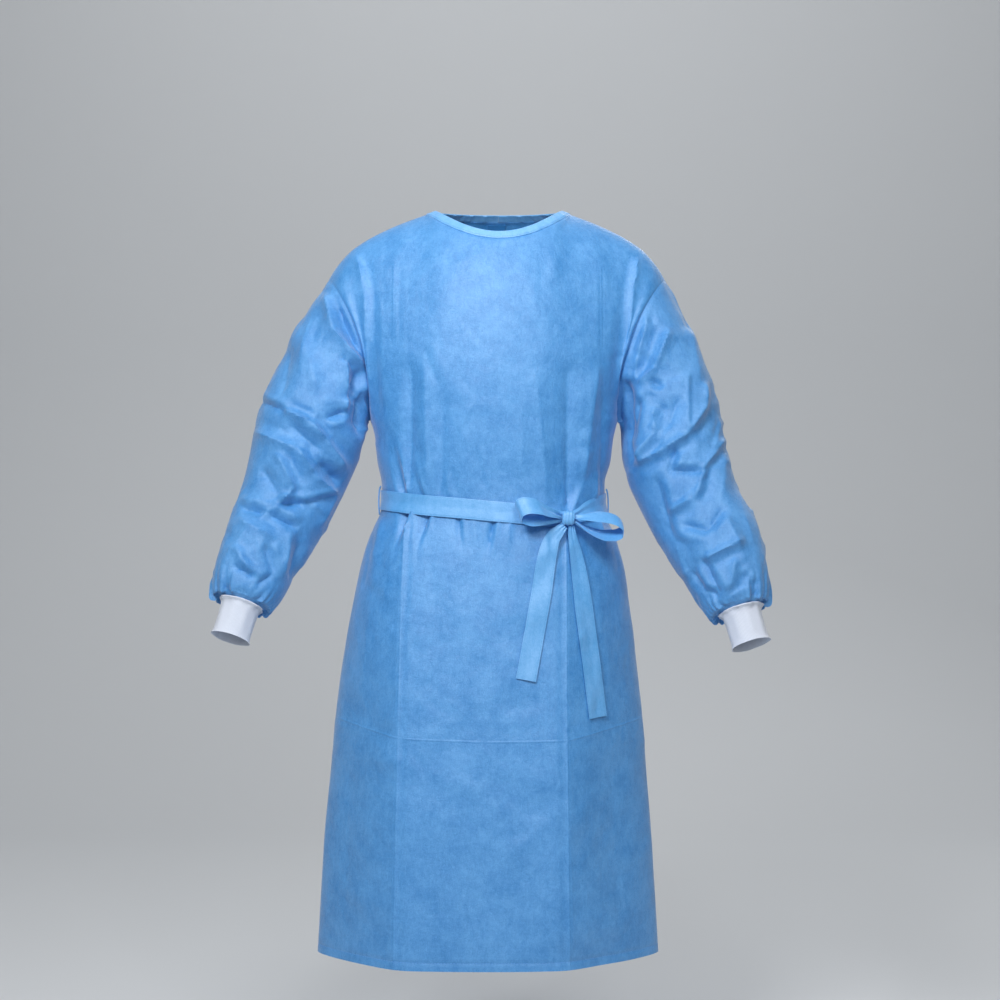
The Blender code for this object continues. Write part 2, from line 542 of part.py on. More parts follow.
# Body. The front is one cut piece, in two solids that meet behind the belt.
panel("upper_front", FRONT, ALL_COLUMNS, BLUE, part=slice(WAIST_ROW, None))
panel("lower_front", FRONT, ALL_COLUMNS, BLUE, part=slice(0, WAIST_ROW + 1))
panel("back_left", BACK, ALL_COLUMNS[:-SHORT_COLUMNS], BLUE, back_layer)
panel("back_right", BACK, ALL_COLUMNS[SHORT_COLUMNS:], BLUE)

# Sleeves and cuffs. Each sleeve is one cut piece, in two solids that meet at the elbow.
for side, word in ((-1, "left"), (1, "right")):
    turn = np.arange(SLEEVE_COLUMNS) * 360 / SLEEVE_COLUMNS
    _, _, knots = sleeve_grid(side, turn, np.array((0.0, 1.0)))
    wrist = knots[-WRIST_SECTIONS:]
    arm = np.linspace(0, wrist[0], ARM_ROWS[side])
    between = (wrist[:-1] + wrist[1:]) / 2
    down = np.concatenate((arm, between[:1], wrist[1:3], between[2:], wrist[3:]))
    grid, gather, _ = sleeve_grid(side, turn, down)
    outward = normals(grid, wrap=True) * side
    folds = SLEEVE_FOLDS[side]
    metres_round = math.radians(ARM_RADIUS)
    lines = np.array([folds["turn0"] * metres_round, folds["down0"] * ARM_LENGTH,
                      folds["turn1"] * metres_round, folds["down1"] * ARM_LENGTH,
                      folds["height"], folds["width"]]).T
    height = ridges(lines, turn[None, :] * metres_round, down[:, None] * ARM_LENGTH)
    fade = smooth(down / FOLDS_FROM_ARMHOLE) * smooth((SLEEVE_FOLDS_END - down) / SLEEVE_FOLDS_FADE)
    height = height * fade[:, None]
    height = height + GATHER_DEPTH * gather[:, None] * np.cos(math.pi * np.arange(SLEEVE_COLUMNS))[None, :]
    grid = grid + outward * height[..., None]
    outward = normals(grid, wrap=True) * side
    for name, rows, ways in (("upper_sleeve_", grid[:ELBOW_ROW + 1], outward[:ELBOW_ROW + 1]),
                             ("lower_sleeve_", grid[ELBOW_ROW:], outward[ELBOW_ROW:])):
        outer = clear_start(rows, 2 * SEAM_GAP)
        shell(name + word, outer, outer - ways * CLOTH, BLUE, wrap=True)

    start, across_axis, ahead, _, _ = arm_section(side, -1)
    axis = unit(np.cross(across_axis, ahead)) * side
    angle = np.linspace(0, 2 * math.pi, CUFF_COLUMNS, endpoint=False)[None, :, None]
    radius = CUFF["radius"][:, None, None]
    spoke = across_axis * np.cos(angle) + ahead * np.sin(angle)
    middle = start + axis * CUFF["along"][:, None, None]
    shell("cuff_" + word, middle + spoke * radius, middle + spoke * (radius - KNIT), WHITE, wrap=True)


# Neck binding: a strip folded over the neck edge, drawn as one thicker band from the panels' edge to
# the open neck, and cut by a notch at the middle of the back. Seen from above it is a ring.
RIGHT_HALF = NECK_SPAN[NECK_SPAN >= 0.5 - TINY]
edge = np.concatenate((upper(BACK, 1 - RIGHT_HALF, np.array((1.0,)))[0],
                       upper(FRONT, NECK_SPAN, np.array((1.0,)))[0, 1:-1],
                       upper(BACK, RIGHT_HALF[::-1], np.array((1.0,)))[0]))
known, known_ways = [], []
columns = np.linspace(0, 1, SEARCH_COLUMNS)[None, :]
for face in (FRONT, BACK):
    spread = to_ridge(face, *np.broadcast_arrays(columns, np.linspace(0.3, 1, SEARCH_ROWS)[:, None]))
    known.append(spread.reshape(-1, 3))
    known_ways.append((normals(spread) * (1 if face == FRONT else -1)).reshape(-1, 3))
known, known_ways = np.concatenate(known), np.concatenate(known_ways)
middle, half, reach = neck_oval(edge[:, 1] < SHOULDER_SEAM_Y, 1.0)
east, north = (edge[:, 0] - middle) / half, (edge[:, 1] - SHOULDER_SEAM_Y) / reach
rows, ways = [], []
for share in (1.0, 0.5, 0.0):
    middle, half, reach = neck_oval(edge[:, 1] < SHOULDER_SEAM_Y, share)
    x, y = middle + half * east, SHOULDER_SEAM_Y + reach * north
    near = np.argmin((known[None, :, 0] - x[:, None]) ** 2 + (known[None, :, 1] - y[:, None]) ** 2, axis=1)
    point, way = known[near], known_ways[near]
    z = point[:, 2] - (way[:, 0] * (x - point[:, 0]) + way[:, 1] * (y - point[:, 1])) / way[:, 2]
    rows.append(np.stack((x, y, z), axis=-1))
    ways.append(way)
rows, ways = np.array(rows), np.array(ways)
rows[0] += unit(rows[1] - rows[0]) * 1.5 * SEAM_GAP
rows[:, 0] += unit(rows[:, 1] - rows[:, 0]) * BINDING_NOTCH
rows[:, -1] += unit(rows[:, -2] - rows[:, -1]) * BINDING_NOTCH
shell("neck_binding", rows + ways * BINDING_PROUD, rows - ways * (CLOTH + BINDING_PROUD), TIE_BLUE)


def at_height(grid, heights):
    """One point on each column of a panel grid, on its own straight edges, at the given heights."""
    z = grid[:, :, 2]
    return np.stack([[np.interp(h, z[:BELT_ROWS, c], grid[:BELT_ROWS, c, i]) for c, h in enumerate(heights)]
                     for i in range(3)], axis=-1)


def belt_middle(face, x):
    """Height of the belt's middle: the front's from its table, the back's rising to meet it."""
    if face == FRONT:
        return through(BELT_FRONT["x"], BELT_FRONT["height"], x)
    ends = BELT_FRONT["height"][[0, -1]]
    return through((BELT_FRONT["x"][0], 0.0, BELT_FRONT["x"][-1]), (ends[0], BELT_BACK_HEIGHT, ends[1]), x)


def overlap_layer(across):
    """Room over the back where its halves overlap, run out again past the outer half's edge."""
    past = 0.5 + BACK_OVERLAP
    return back_layer(across) * smooth((past + LAYER_PAST - across) / LAYER_OUT)


# Belt: a flat band all round the waist, over the panels' folds, narrower where the knot gathers it
grids = {}
belt = {}
for face in (FRONT, BACK):
    grid, outward = folded(face, body_grid(face, ALL_COLUMNS, HEIGHTS, RISES), ALL_COLUMNS)
    grids[face] = grid
    if face == BACK:
        grid = grid + outward * overlap_layer(ALL_COLUMNS)[None, :, None]
    waist = at_height(grid, np.full(len(ALL_COLUMNS), BELT_FRONT["height"].mean()))
    middle = belt_middle(face, waist[:, 0])
    from_knot = abs(waist[:, 0] - KNOT[0]) if face == FRONT else np.full(len(ALL_COLUMNS), 1.0)
    width = BELT_AT_KNOT + (BELT_WIDTH - BELT_AT_KNOT) * smooth((from_knot - KNOT_REACH) / BELT_NARROWING)
    rows = np.array([at_height(grid, middle + width * side / 2) for side in (-1, 0, 1)])
    flat = outward[np.argmin(abs(grid[:, 0, 2] - BELT_FRONT["height"].mean()))]
    flat = unit(flat * np.array((1.0, 1.0, 0.0)))
    belt[face] = (rows, np.broadcast_to(flat, rows.shape))
rows = np.concatenate((belt[FRONT][0], belt[BACK][0][:, -2:0:-1]), axis=1)
flat = np.concatenate((belt[FRONT][1], belt[BACK][1][:, -2:0:-1]), axis=1)
shell("belt", rows + flat * (BELT_CLEAR + CLOTH), rows + flat * BELT_CLEAR, TIE_BLUE, wrap=True)


def ribbon(name, middles, sideways, widths, stuff):
    """Strip of cloth along its middle points, sideways giving the direction of its width."""
    run = np.gradient(middles, axis=0)
    across_way = unit(sideways)
    way = unit(np.cross(run, across_way))
    edges = [middles + across_way * widths[:, None] * side / 2 for side in (-1, 0, 1)]
    rows = np.stack(edges, axis=1)
    way = way[:, None, :]
    return shell(name, rows + way * RIBBON / 2, rows - way * RIBBON / 2, stuff)


# Knot: a small rounded lump of gathered belt, standing on the belt
down = np.linspace(0, math.pi, KNOT_RINGS)[1:-1, None]
turn = np.arange(KNOT_SPOKES)[None, :] * 2 * math.pi / KNOT_SPOKES
ball = np.stack((np.sin(down) * np.cos(turn), np.sin(down) * np.sin(turn), np.cos(down) + 0 * turn), axis=-1)
points = np.concatenate((KNOT + ball.reshape(-1, 3) * KNOT_HALF, [KNOT + (0, 0, KNOT_HALF[2])],
                         [KNOT - (0, 0, KNOT_HALF[2])]))
faces = []
top, bottom, last = len(points) - 2, len(points) - 1, (KNOT_RINGS - 3) * KNOT_SPOKES
for c in range(KNOT_SPOKES):
    n = (c + 1) % KNOT_SPOKES
    for row in range(0, last, KNOT_SPOKES):
        faces.append((row + c, row + KNOT_SPOKES + c, row + KNOT_SPOKES + n, row + n))
    faces += [(c, n, top), (last + n, last + c, bottom)]
finish("bow_knot", points, faces, TIE_BLUE)

# Bow loops: each is one strip, out and round and back to the knot
for name, (row, sideways) in BOW_LOOPS.items():
    at = np.linspace(0, len(row["x"]) - 1, LOOP_ROWS)
    values = np.stack([row[c] for c in ("x", "y", "z", "width")], axis=-1)
    values = through(np.arange(len(values)), values, at)
    ribbon(name, values[:, :3], np.broadcast_to(sideways, (LOOP_ROWS, 3)), values[:, 3], TIE_BLUE)


def on_front(x, z):
    """Point of the front panel's own faces at x and z."""
    grid = grids[FRONT]
    row = np.clip(np.searchsorted(grid[:len(HEIGHTS), 0, 2], z), 1, len(HEIGHTS) - 1)
    low, high = grid[row - 1], grid[row]
    share = (z - low[0, 2]) / (high[0, 2] - low[0, 2])
    y = np.interp(x, low[:, 0], low[:, 1]) * (1 - share) + np.interp(x, high[:, 0], high[:, 1]) * share
    return np.array((x, y, z))


# Tails: the belt's free ends, hanging on the skirt
for name, row in TAILS.items():
    at = np.linspace(0, len(row["x"]) - 1, TAIL_ROWS)
    values = np.stack([row[c] for c in ("x", "z", "width", "off")], axis=-1)
    values = through(np.arange(len(values)), values, at)
    run = np.gradient(values[:, :2], axis=0)
    sideways = unit(np.stack((-run[:, 1], run[:, 0]), axis=-1))
    strips = []
    for side in (-1, 0, 1):
        edge_at = values[:, :2] + sideways * values[:, 2:3] * side / 2
        strips.append([on_front(x, z) - (0, off, 0) for (x, z), off in zip(edge_at, values[:, 3])])
    rows = np.array(strips)
    out = np.array((0.0, -1.0, 0.0)) * RIBBON
    shell(name, rows + out, rows, TIE_BLUE)

# Belt loops: a thread chain at each side seam, over the belt
for word, side, column in (("left", -1, 0), ("right", 1, -1)):
    middles = [belt[FRONT][0][1, column] + (side * off, 0.0, up) for off, up in THREAD_LOOP]
    at = np.linspace(0, len(middles) - 1, THREAD_ROWS)
    middles = through(np.arange(len(middles)), np.array(middles), at)
    run = unit(np.gradient(middles, axis=0))
    spoke = unit(np.cross(run, (0.0, 1.0, 0.0)))
    angle = (np.arange(THREAD_SPOKES) * 2 * math.pi / THREAD_SPOKES)[None, :, None]
    tube = spoke[:, None, :] * np.cos(angle) + np.array((0.0, 1.0, 0.0)) * np.sin(angle)
    solid_tube("belt_loop_" + word, middles[:, None, :] + tube * THREAD_RADIUS, BLUE)

# Neck tab: a short darker strip down the inside of the back, behind its closing
grid, outward = folded(BACK, body_grid(BACK, ALL_COLUMNS, HEIGHTS, RISES), ALL_COLUMNS)


def within_back(values):
    """Values of the back's grid at the tab's places, straight between the grid's own corners."""
    up = [np.stack([np.interp(TAB_RISES, RISES, values[len(HEIGHTS):, c, i]) for i in range(3)], axis=-1)
          for c in range(len(ALL_COLUMNS))]
    up = np.array(up)
    return np.stack([[np.interp(TAB_ACROSS, ALL_COLUMNS, up[:, r, i]) for i in range(3)]
                     for r in range(len(TAB_RISES))]).transpose(0, 2, 1)


rows, ways = within_back(grid), unit(within_back(outward))
behind = CLOTH + TAB_CLEAR
shell("neck_tab", rows - ways * behind, rows - ways * (behind + TAB_CLOTH), TAB_BLUE)
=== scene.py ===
"""Looks of a disposable surgical gown, standing in its worn form with nobody in it.

The gown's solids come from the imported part. Each is replaced here by a thinner piece on the same
form, with the creases that the cloth shows. Metres, +Z up, the front faces -Y. "left" and "right"
are the sides as seen from the front: left is -X.
"""

import math

import bpy
import numpy as np
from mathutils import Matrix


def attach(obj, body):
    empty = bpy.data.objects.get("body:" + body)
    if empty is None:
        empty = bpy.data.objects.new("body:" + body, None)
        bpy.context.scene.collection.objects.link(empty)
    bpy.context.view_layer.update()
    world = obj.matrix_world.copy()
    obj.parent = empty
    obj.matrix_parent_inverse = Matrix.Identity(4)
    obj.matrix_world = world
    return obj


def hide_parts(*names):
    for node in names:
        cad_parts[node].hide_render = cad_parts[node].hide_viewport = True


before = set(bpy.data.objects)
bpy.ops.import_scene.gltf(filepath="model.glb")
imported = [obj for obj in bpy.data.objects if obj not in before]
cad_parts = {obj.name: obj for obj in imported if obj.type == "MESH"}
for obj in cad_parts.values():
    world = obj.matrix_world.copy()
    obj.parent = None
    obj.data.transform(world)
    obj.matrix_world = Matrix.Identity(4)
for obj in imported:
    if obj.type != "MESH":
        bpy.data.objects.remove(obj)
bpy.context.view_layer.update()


# ---- Front panel
# One cut piece of pressed fibre cloth, from the hem to the shoulders. It is sewn to the back halves
# at the sides and shoulders and to the sleeves round the armholes.

CLOTH = 0.0006            # wall of the shown cloth
LOW_STEP, WAIST_STEP = 0.0078, 0.0034   # grid rows on the plain skirt and round the waist
SKIRT_TOP = -0.60
HEM_TURN, HEM_GROOVE = 0.0125, 0.0006
CREASE_HEIGHT = 0.0017
CREST, HOLLOW = 0.012, 0.45   # roundness of a crease, and the depth of the hollow beside it
CHEST_HEIGHT, HEM_HEIGHT = -0.335, -1.176
SHOULDER_SEAM_Y = 0.012
NECK_LEFT, NECK_RIGHT = -0.104, 0.099
NECK_FRONT_REACH, NECK_BACK_REACH = 0.0999, 0.052
BINDING_SIDE, BINDING_FRONT, BINDING_BACK = 0.0140, 0.0065, 0.0100
RIDGE_RISE = 0.024
NECK_SHARE = 0.30
RISES = (0.0, 0.12, 0.25, 0.38, 0.52, 0.66, 0.80, 0.90, 0.96, 1.0)
SEAM_GROOVE, SEAM_REACH = 0.0009, 0.0026
VIEW_DISTANCE, VIEW_HEIGHT, VIEW_SCALE = 3.1, -0.4624, 1937.5
STEP = VIEW_DISTANCE / VIEW_SCALE     # size of one view step at the gown's middle, 1.6 mm
FRONT, BACK = -1, 1


def table(columns, rows):
    """Rows of numbers as a dictionary of named columns."""
    return dict(zip(columns.split(), np.array(rows, float).T))


BODY = table("height left right front back side pressed", (
    (-1.176, -0.289, 0.251, -0.172, 0.150, -0.030, 0.60),
    (-1.070, -0.283, 0.245, -0.170, 0.147, -0.026, 0.60),
    (-0.975, -0.277, 0.239, -0.168, 0.144, -0.022, 0.58),
    (-0.880, -0.268, 0.232, -0.165, 0.140, -0.018, 0.55),
    (-0.790, -0.260, 0.225, -0.160, 0.136, -0.014, 0.50),
    (-0.690, -0.246, 0.214, -0.153, 0.131, -0.010, 0.40),
    (-0.620, -0.233, 0.205, -0.147, 0.127, -0.007, 0.30),
    (-0.570, -0.223, 0.196, -0.142, 0.123, -0.005, 0.20),
    (-0.520, -0.208, 0.183, -0.135, 0.118, -0.002, 0.10),
    (-0.490, -0.193, 0.171, -0.130, 0.114, 0.000, 0.05),
    (-0.462, -0.187, 0.166, -0.128, 0.112, 0.000, 0.00),
    (-0.435, -0.189, 0.167, -0.129, 0.113, 0.000, 0.00),
    (-0.400, -0.196, 0.175, -0.132, 0.116, 0.000, 0.00),
    (-0.366, -0.199, 0.179, -0.135, 0.119, 0.000, 0.00),
    (-0.335, -0.206, 0.186, -0.137, 0.121, 0.000, 0.00),
))
SKIRT_FOLDS = (-0.160, 0.105)
OVAL_SQUARENESS = 0.88
SHOULDER = table("out drop", (
    (0.014, -0.005), (0.050, -0.018), (0.078, -0.030), (0.104, -0.043),
    (0.133, -0.062), (0.149, -0.078), (0.162, -0.094), (0.172, -0.110),
))
RIGHT_SHOULDER_SCALE = 0.968
ARMHOLE_LOW = {FRONT: (0.015, -0.078, 0.097), BACK: (0.015, 0.088, 0.097)}
ARMHOLE_HIGH = {FRONT: (0.014, -0.077, -0.003), BACK: (0.014, 0.080, -0.008)}
CHEST_UP = {FRONT: (0.0, -0.012, 0.105), BACK: (0.0, 0.010, 0.120)}
SHOULDER_ROLL = {FRONT: (0.0, -0.077, 0.002), BACK: (0.0, 0.080, -0.006)}
NECK_ROLL = {FRONT: (0.0, -0.142, -0.005), BACK: (0.0, 0.118, 0.008)}

# Creases of the front as they are seen from the camera: places in view steps, right and down from
# the top left corner, height in steps of CREASE_HEIGHT (a trough where it is negative), width in
# view steps, and skew, which makes the flank on the right of the line's run wider.
CREASE_COLUMNS = "right0 down0 right1 down1 height width skew"
FRONT_CREASES = table(CREASE_COLUMNS, (
    (396, 262, 396, 345, 0.5, 1.8, 0.4),
    (598, 264, 598, 350, 0.5, 1.8, 0.4),
    (523, 400, 521, 480, 0.8, 7, 0.0),
    (597, 370, 587, 450, 2.2, 5, 0.4),
    (587, 450, 583, 480, 2.2, 4.5, 0.4),
    (597, 472, 594, 500, 1.8, 3.2, 0.0),
    (447, 474, 449, 496, 1.0, 4.0, 0.0),
    (357, 254, 360, 270, 1.4, 3.4, 0.4),
    (359, 262, 366, 290, 2.6, 4.2, 0.5),
    (366, 290, 367, 345, 2.8, 4.2, 0.5),
    (367, 345, 373, 420, 2.0, 4.2, 0.5),
    (637, 259, 632, 290, 2.6, 4.2, -0.5),
    (632, 290, 628, 340, 2.8, 4.2, -0.5),
    (628, 340, 616, 400, 2.0, 4.2, -0.5),
    (407, 519, 399, 624, 1.6, 3.0, 0.4),
    (399, 624, 397, 735, 1.1, 3.0, 0.4),
    (397, 735, 392, 972, 1.1, 3.0, 0.4),
    (567, 540, 567, 709, 1.2, 3.0, -0.4),
    (567, 709, 570, 974, 1.1, 3.0, -0.4),
    (330, 720, 400, 735, 0.6, 3.0, 0.4),
    (400, 735, 484, 738, 0.5, 3.0, 0.4),
    (484, 738, 566, 737, 0.6, 3.0, 0.4),
    (566, 737, 646, 722, 0.7, 3.0, 0.4),
    (600, 520, 606, 548, 1.8, 4.0, 0.3),
    (614, 545, 619, 575, -1.2, 4.0, 0.0),
    (382, 520, 372, 560, 1.6, 5.0, 0.3),
    (374, 530, 362, 590, -1.4, 5.0, 0.0),
    (430, 560, 440, 660, -1.0, 14, 0.0),
    (520, 560, 500, 690, 0.8, 16, 0.0),
    (350, 770, 345, 920, -0.9, 12, 0.0),
    (610, 760, 620, 920, -1.0, 12, 0.0),
    (470, 800, 480, 930, -0.7, 20, 0.0),
    (372, 600, 360, 700, 0.9, 10, 0.0),
    (595, 600, 612, 690, 0.9, 10, 0.0),
    (470, 250, 440, 300, 0.8, 14, 0.0),
    (520, 265, 545, 320, 0.7, 14, 0.0),
    (410, 235, 380, 285, 0.9, 9, 0.0),
    (590, 240, 610, 290, 0.9, 9, 0.0),
    (381, 300, 384, 400, 0.8, 6, 0.0),
    (612, 300, 606, 380, 0.8, 6, 0.0),
))


def smooth(t):
    """Eases from 0 to 1 as t goes from 0 to 1: 3t^2 - 2t^3, flat at both ends."""
    t = np.clip(t, 0.0, 1.0)
    return t * t * (3.0 - 2.0 * t)


def through(knots, values, at):
    """Smooth curve through the rows with no overshoot: cubic pieces, and at each row the harmonic
    mean of the slopes on its two sides, or none where they differ in sign."""
    knots, values, at = np.asarray(knots, float), np.asarray(values, float), np.asarray(at, float)
    if knots[0] > knots[-1]:
        knots, values = knots[::-1], values[::-1]
    spare = (1,) * (values.ndim - 1)
    runs = np.diff(values, axis=0) / np.diff(knots).reshape((-1,) + spare)
    before, after = runs[:-1], runs[1:]
    same_way = before * after > 0
    mean = np.where(same_way, 2 * before * after / np.where(same_way, before + after, 1.0), 0.0)
    slopes = np.concatenate((runs[:1], mean, runs[-1:]))
    i = np.clip(np.searchsorted(knots, at) - 1, 0, len(knots) - 2)
    step = knots[i + 1] - knots[i]
    t = np.clip((at - knots[i]) / step, 0.0, 1.0)
    step, t = step.reshape(step.shape + spare), t.reshape(t.shape + spare)
    return ((1 + 2 * t) * (1 - t) ** 2 * values[i] + t * (1 - t) ** 2 * step * slopes[i]
            + t * t * (3 - 2 * t) * values[i + 1] + t * t * (t - 1) * step * slopes[i + 1])


def unit(vectors):
    """Each vector divided by its length."""
    return vectors / np.linalg.norm(vectors, axis=-1, keepdims=True)


def section(face, across, height):
    """Body outline at a height: x is the middle minus the half width times cos(pi across), and y
    goes from the side to the front or back by a mix of sin(pi across) and a flat pressed profile."""
    row = {name: through(BODY["height"], BODY[name], height) for name in BODY}
    middle, half = (row["left"] + row["right"]) / 2, (row["right"] - row["left"]) / 2
    angle = math.pi * across
    x = middle - half * np.cos(angle)
    oval = np.clip(np.sin(angle), 0, 1) ** OVAL_SQUARENESS
    left_run = (x - row["left"]) / (SKIRT_FOLDS[0] - row["left"])
    right_run = (row["right"] - x) / (row["right"] - SKIRT_FOLDS[1])
    flat = np.minimum(1.0, np.minimum(left_run, right_run))
    depth = row["front"] if face == FRONT else row["back"]
    share = (1 - row["pressed"]) * oval + row["pressed"] * flat
    y = row["side"] + (depth - row["side"]) * share
    return np.stack(np.broadcast_arrays(x, y, height + 0 * x), axis=-1)


def ridge_line(across):
    """Top of the form: left shoulder line, a low rise of sin^2 over the neck, right shoulder line."""
    steps = np.arange(len(SHOULDER["out"])) / (len(SHOULDER["out"]) - 1)
    left = np.clip(1 - across / NECK_SHARE, 0, 1)
    right = np.clip((across - 1) / NECK_SHARE + 1, 0, 1)
    turn = math.pi * np.clip((across - NECK_SHARE) / (1 - 2 * NECK_SHARE), 0, 1)
    start_out, start_drop = SHOULDER["out"][0], SHOULDER["drop"][0]
    middle, half = (NECK_LEFT + NECK_RIGHT) / 2, (NECK_RIGHT - NECK_LEFT) / 2 + start_out
    x = (middle - half * np.cos(turn) - (through(steps, SHOULDER["out"], left) - start_out)
         + RIGHT_SHOULDER_SCALE * (through(steps, SHOULDER["out"], right) - start_out))
    z = (through(steps, SHOULDER["drop"], left) + through(steps, SHOULDER["drop"], right) - start_drop
         + RIDGE_RISE * np.sin(turn) ** 2)
    return np.stack((x, SHOULDER_SEAM_Y + 0 * x, z), axis=-1)


def to_ridge(face, across, rise):
    """Front or back above the chest: each column is a cubic curve from the chest to the ridge line,
    its two pulls mixed from their armhole and middle values by distance from the side."""
    side = np.where(across < 0.5, 1.0, -1.0)[..., None] * np.array((1.0, 0.0, 0.0)) + np.array((0.0, 1.0, 1.0))
    from_side = np.minimum(across, 1 - across)[..., None]
    near_armhole = np.exp(-(from_side / 0.07) ** 2)
    pull_low = (near_armhole * np.array(ARMHOLE_LOW[face]) + (1 - near_armhole) * np.array(CHEST_UP[face])) * side
    to_middle = smooth((from_side - 0.14) / 0.36)
    roll = (1 - to_middle) * np.array(SHOULDER_ROLL[face]) + to_middle * np.array(NECK_ROLL[face])
    pull_top = (near_armhole * np.array(ARMHOLE_HIGH[face]) + (1 - near_armhole) * roll) * side
    low, top, t = section(face, across, CHEST_HEIGHT), ridge_line(across), rise[..., None]
    return ((1 - t) ** 3 * low + 3 * (1 - t) ** 2 * t * (low + pull_low)
            + 3 * (1 - t) * t ** 2 * (top + pull_top) + t ** 3 * top)


def neck_oval(ahead, share):
    """Middle, half width and reach of the neck's outline seen from above: share 0 is the open edge
    and 1 the binding's outer edge, where the panels end."""
    middle, half = (NECK_LEFT + NECK_RIGHT) / 2, (NECK_RIGHT - NECK_LEFT) / 2 + share * BINDING_SIDE
    reach = np.where(ahead, NECK_FRONT_REACH + share * BINDING_FRONT, NECK_BACK_REACH + share * BINDING_BACK)
    return middle, half, reach


def neck_cut(face, across):
    """How far up its column the panel's neck edge lies: 1 where a column reaches the shoulder."""
    rise = np.linspace(0.4, 1, 241)[:, None]
    points = to_ridge(face, *np.broadcast_arrays(across[None, :], rise))
    middle, half, reach = neck_oval(points[..., 1] < SHOULDER_SEAM_Y, 1.0)
    outside = np.hypot((points[..., 0] - middle) / half, (points[..., 1] - SHOULDER_SEAM_Y) / reach) - 1
    last = np.argmax(outside < 0, axis=0)
    column = np.arange(len(across))
    above, below = outside[last, column], outside[last - 1, column]
    found = rise[last - 1, 0] + (rise[1, 0] - rise[0, 0]) * below / np.where(last > 0, below - above, 1.0)
    inside_neck = (last > 0) & (np.minimum(across, 1 - across) > NECK_SHARE + 1e-6)
    return np.where(inside_neck, found, 1.0)


def body_grid(face, across, heights, rises):
    """Rows of the body's surface from the hem up to the top edge, one point for each across."""
    lower = section(face, across[None, :], np.asarray(heights)[:, None])
    cut = np.asarray(rises)[:, None] * neck_cut(face, across)[None, :]
    return np.concatenate((lower, to_ridge(face, *np.broadcast_arrays(across[None, :], cut))))


def normals(points, wrap=False):
    """Unit normals of a grid: the cross product of the differences to each point's neighbours."""
    down = np.gradient(points, axis=0)
    round_ = np.roll(points, -1, 1) - np.roll(points, 1, 1) if wrap else np.gradient(points, axis=1)
    return unit(np.cross(round_, down))


def seen(points, from_back=False):
    """Where the camera sees each point, in view steps right and down: 500 + scale x / depth and
    500 - scale (z - height) / depth. From the back the same view is taken, mirrored."""
    depth = VIEW_DISTANCE + (-points[..., 1] if from_back else points[..., 1])
    right = 500 + VIEW_SCALE * points[..., 0] / depth
    return right, 500 - VIEW_SCALE * (points[..., 2] - VIEW_HEIGHT) / depth


def creases(rows, right, down):
    """Height of all creases in metres. Each has a crisp crest along its line, flanks that fall off as
    exp(-distance / width), wider on one side by the skew, a hollow on its steeper side at 1.7 widths,
    and round ends that ease out. The width changes by the taper from its start to its end, and a
    crease that gets wider fades out over its whole length."""
    total = np.zeros(np.broadcast(right, down).shape)
    columns = [rows[name] for name in CREASE_COLUMNS.split()]
    tapers = rows.get("taper", np.full(len(columns[0]), 1.0))
    for right0, down0, right1, down1, height, width, skew, taper in zip(*columns, tapers):
        run_right, run_down = right1 - right0, down1 - down0
        length = math.hypot(run_right, run_down)
        along = ((right - right0) * run_right + (down - down0) * run_down) / length ** 2
        off = ((right - right0) * run_down - (down - down0) * run_right) / length
        flank = 0.85 * width * np.where(off < 0, 1 + skew, 1 - skew)
        flank = flank * (1 + (taper - 1) * np.clip(along, 0, 1))
        ease = min(0.45, 0.8 * width / length + 0.06)
        fade = ease if taper <= 1 else 0.5
        ends = smooth((along + ease) / (2 * ease)) * smooth((1 + fade * 0.5 - along) / (2 * fade))
        beyond = np.clip(np.maximum(-along, along - 1), 0, None) * length
        crest = np.exp(math.sqrt(CREST) - np.sqrt((off ** 2 + beyond ** 2) / flank ** 2 + CREST))
        beside = HOLLOW * np.exp(-((off * (1 if skew >= 0 else -1) - 1.7 * width) / width) ** 2)
        total = total + height * CREASE_HEIGHT * ends * (crest - beside)
    return total


def crumples(seed, count, low, high, length, height, width):
    """Rows of small creases at random places and angles, for cloth that has been folded and worn."""
    rng = np.random.default_rng(seed)
    start = rng.uniform(low, high, (count, 2))
    angle = rng.uniform(0, 2 * math.pi, count)
    reach = length * rng.uniform(0.5, 1.5, count)
    end = start + np.stack((np.cos(angle), np.sin(angle)), axis=-1) * reach[:, None]
    tall = height * rng.uniform(-1, 1, count)
    wide = width * rng.uniform(0.6, 1.6, count)
    return dict(zip(CREASE_COLUMNS.split(), (*start.T, *end.T, tall, wide, rng.uniform(-0.4, 0.4, count))))


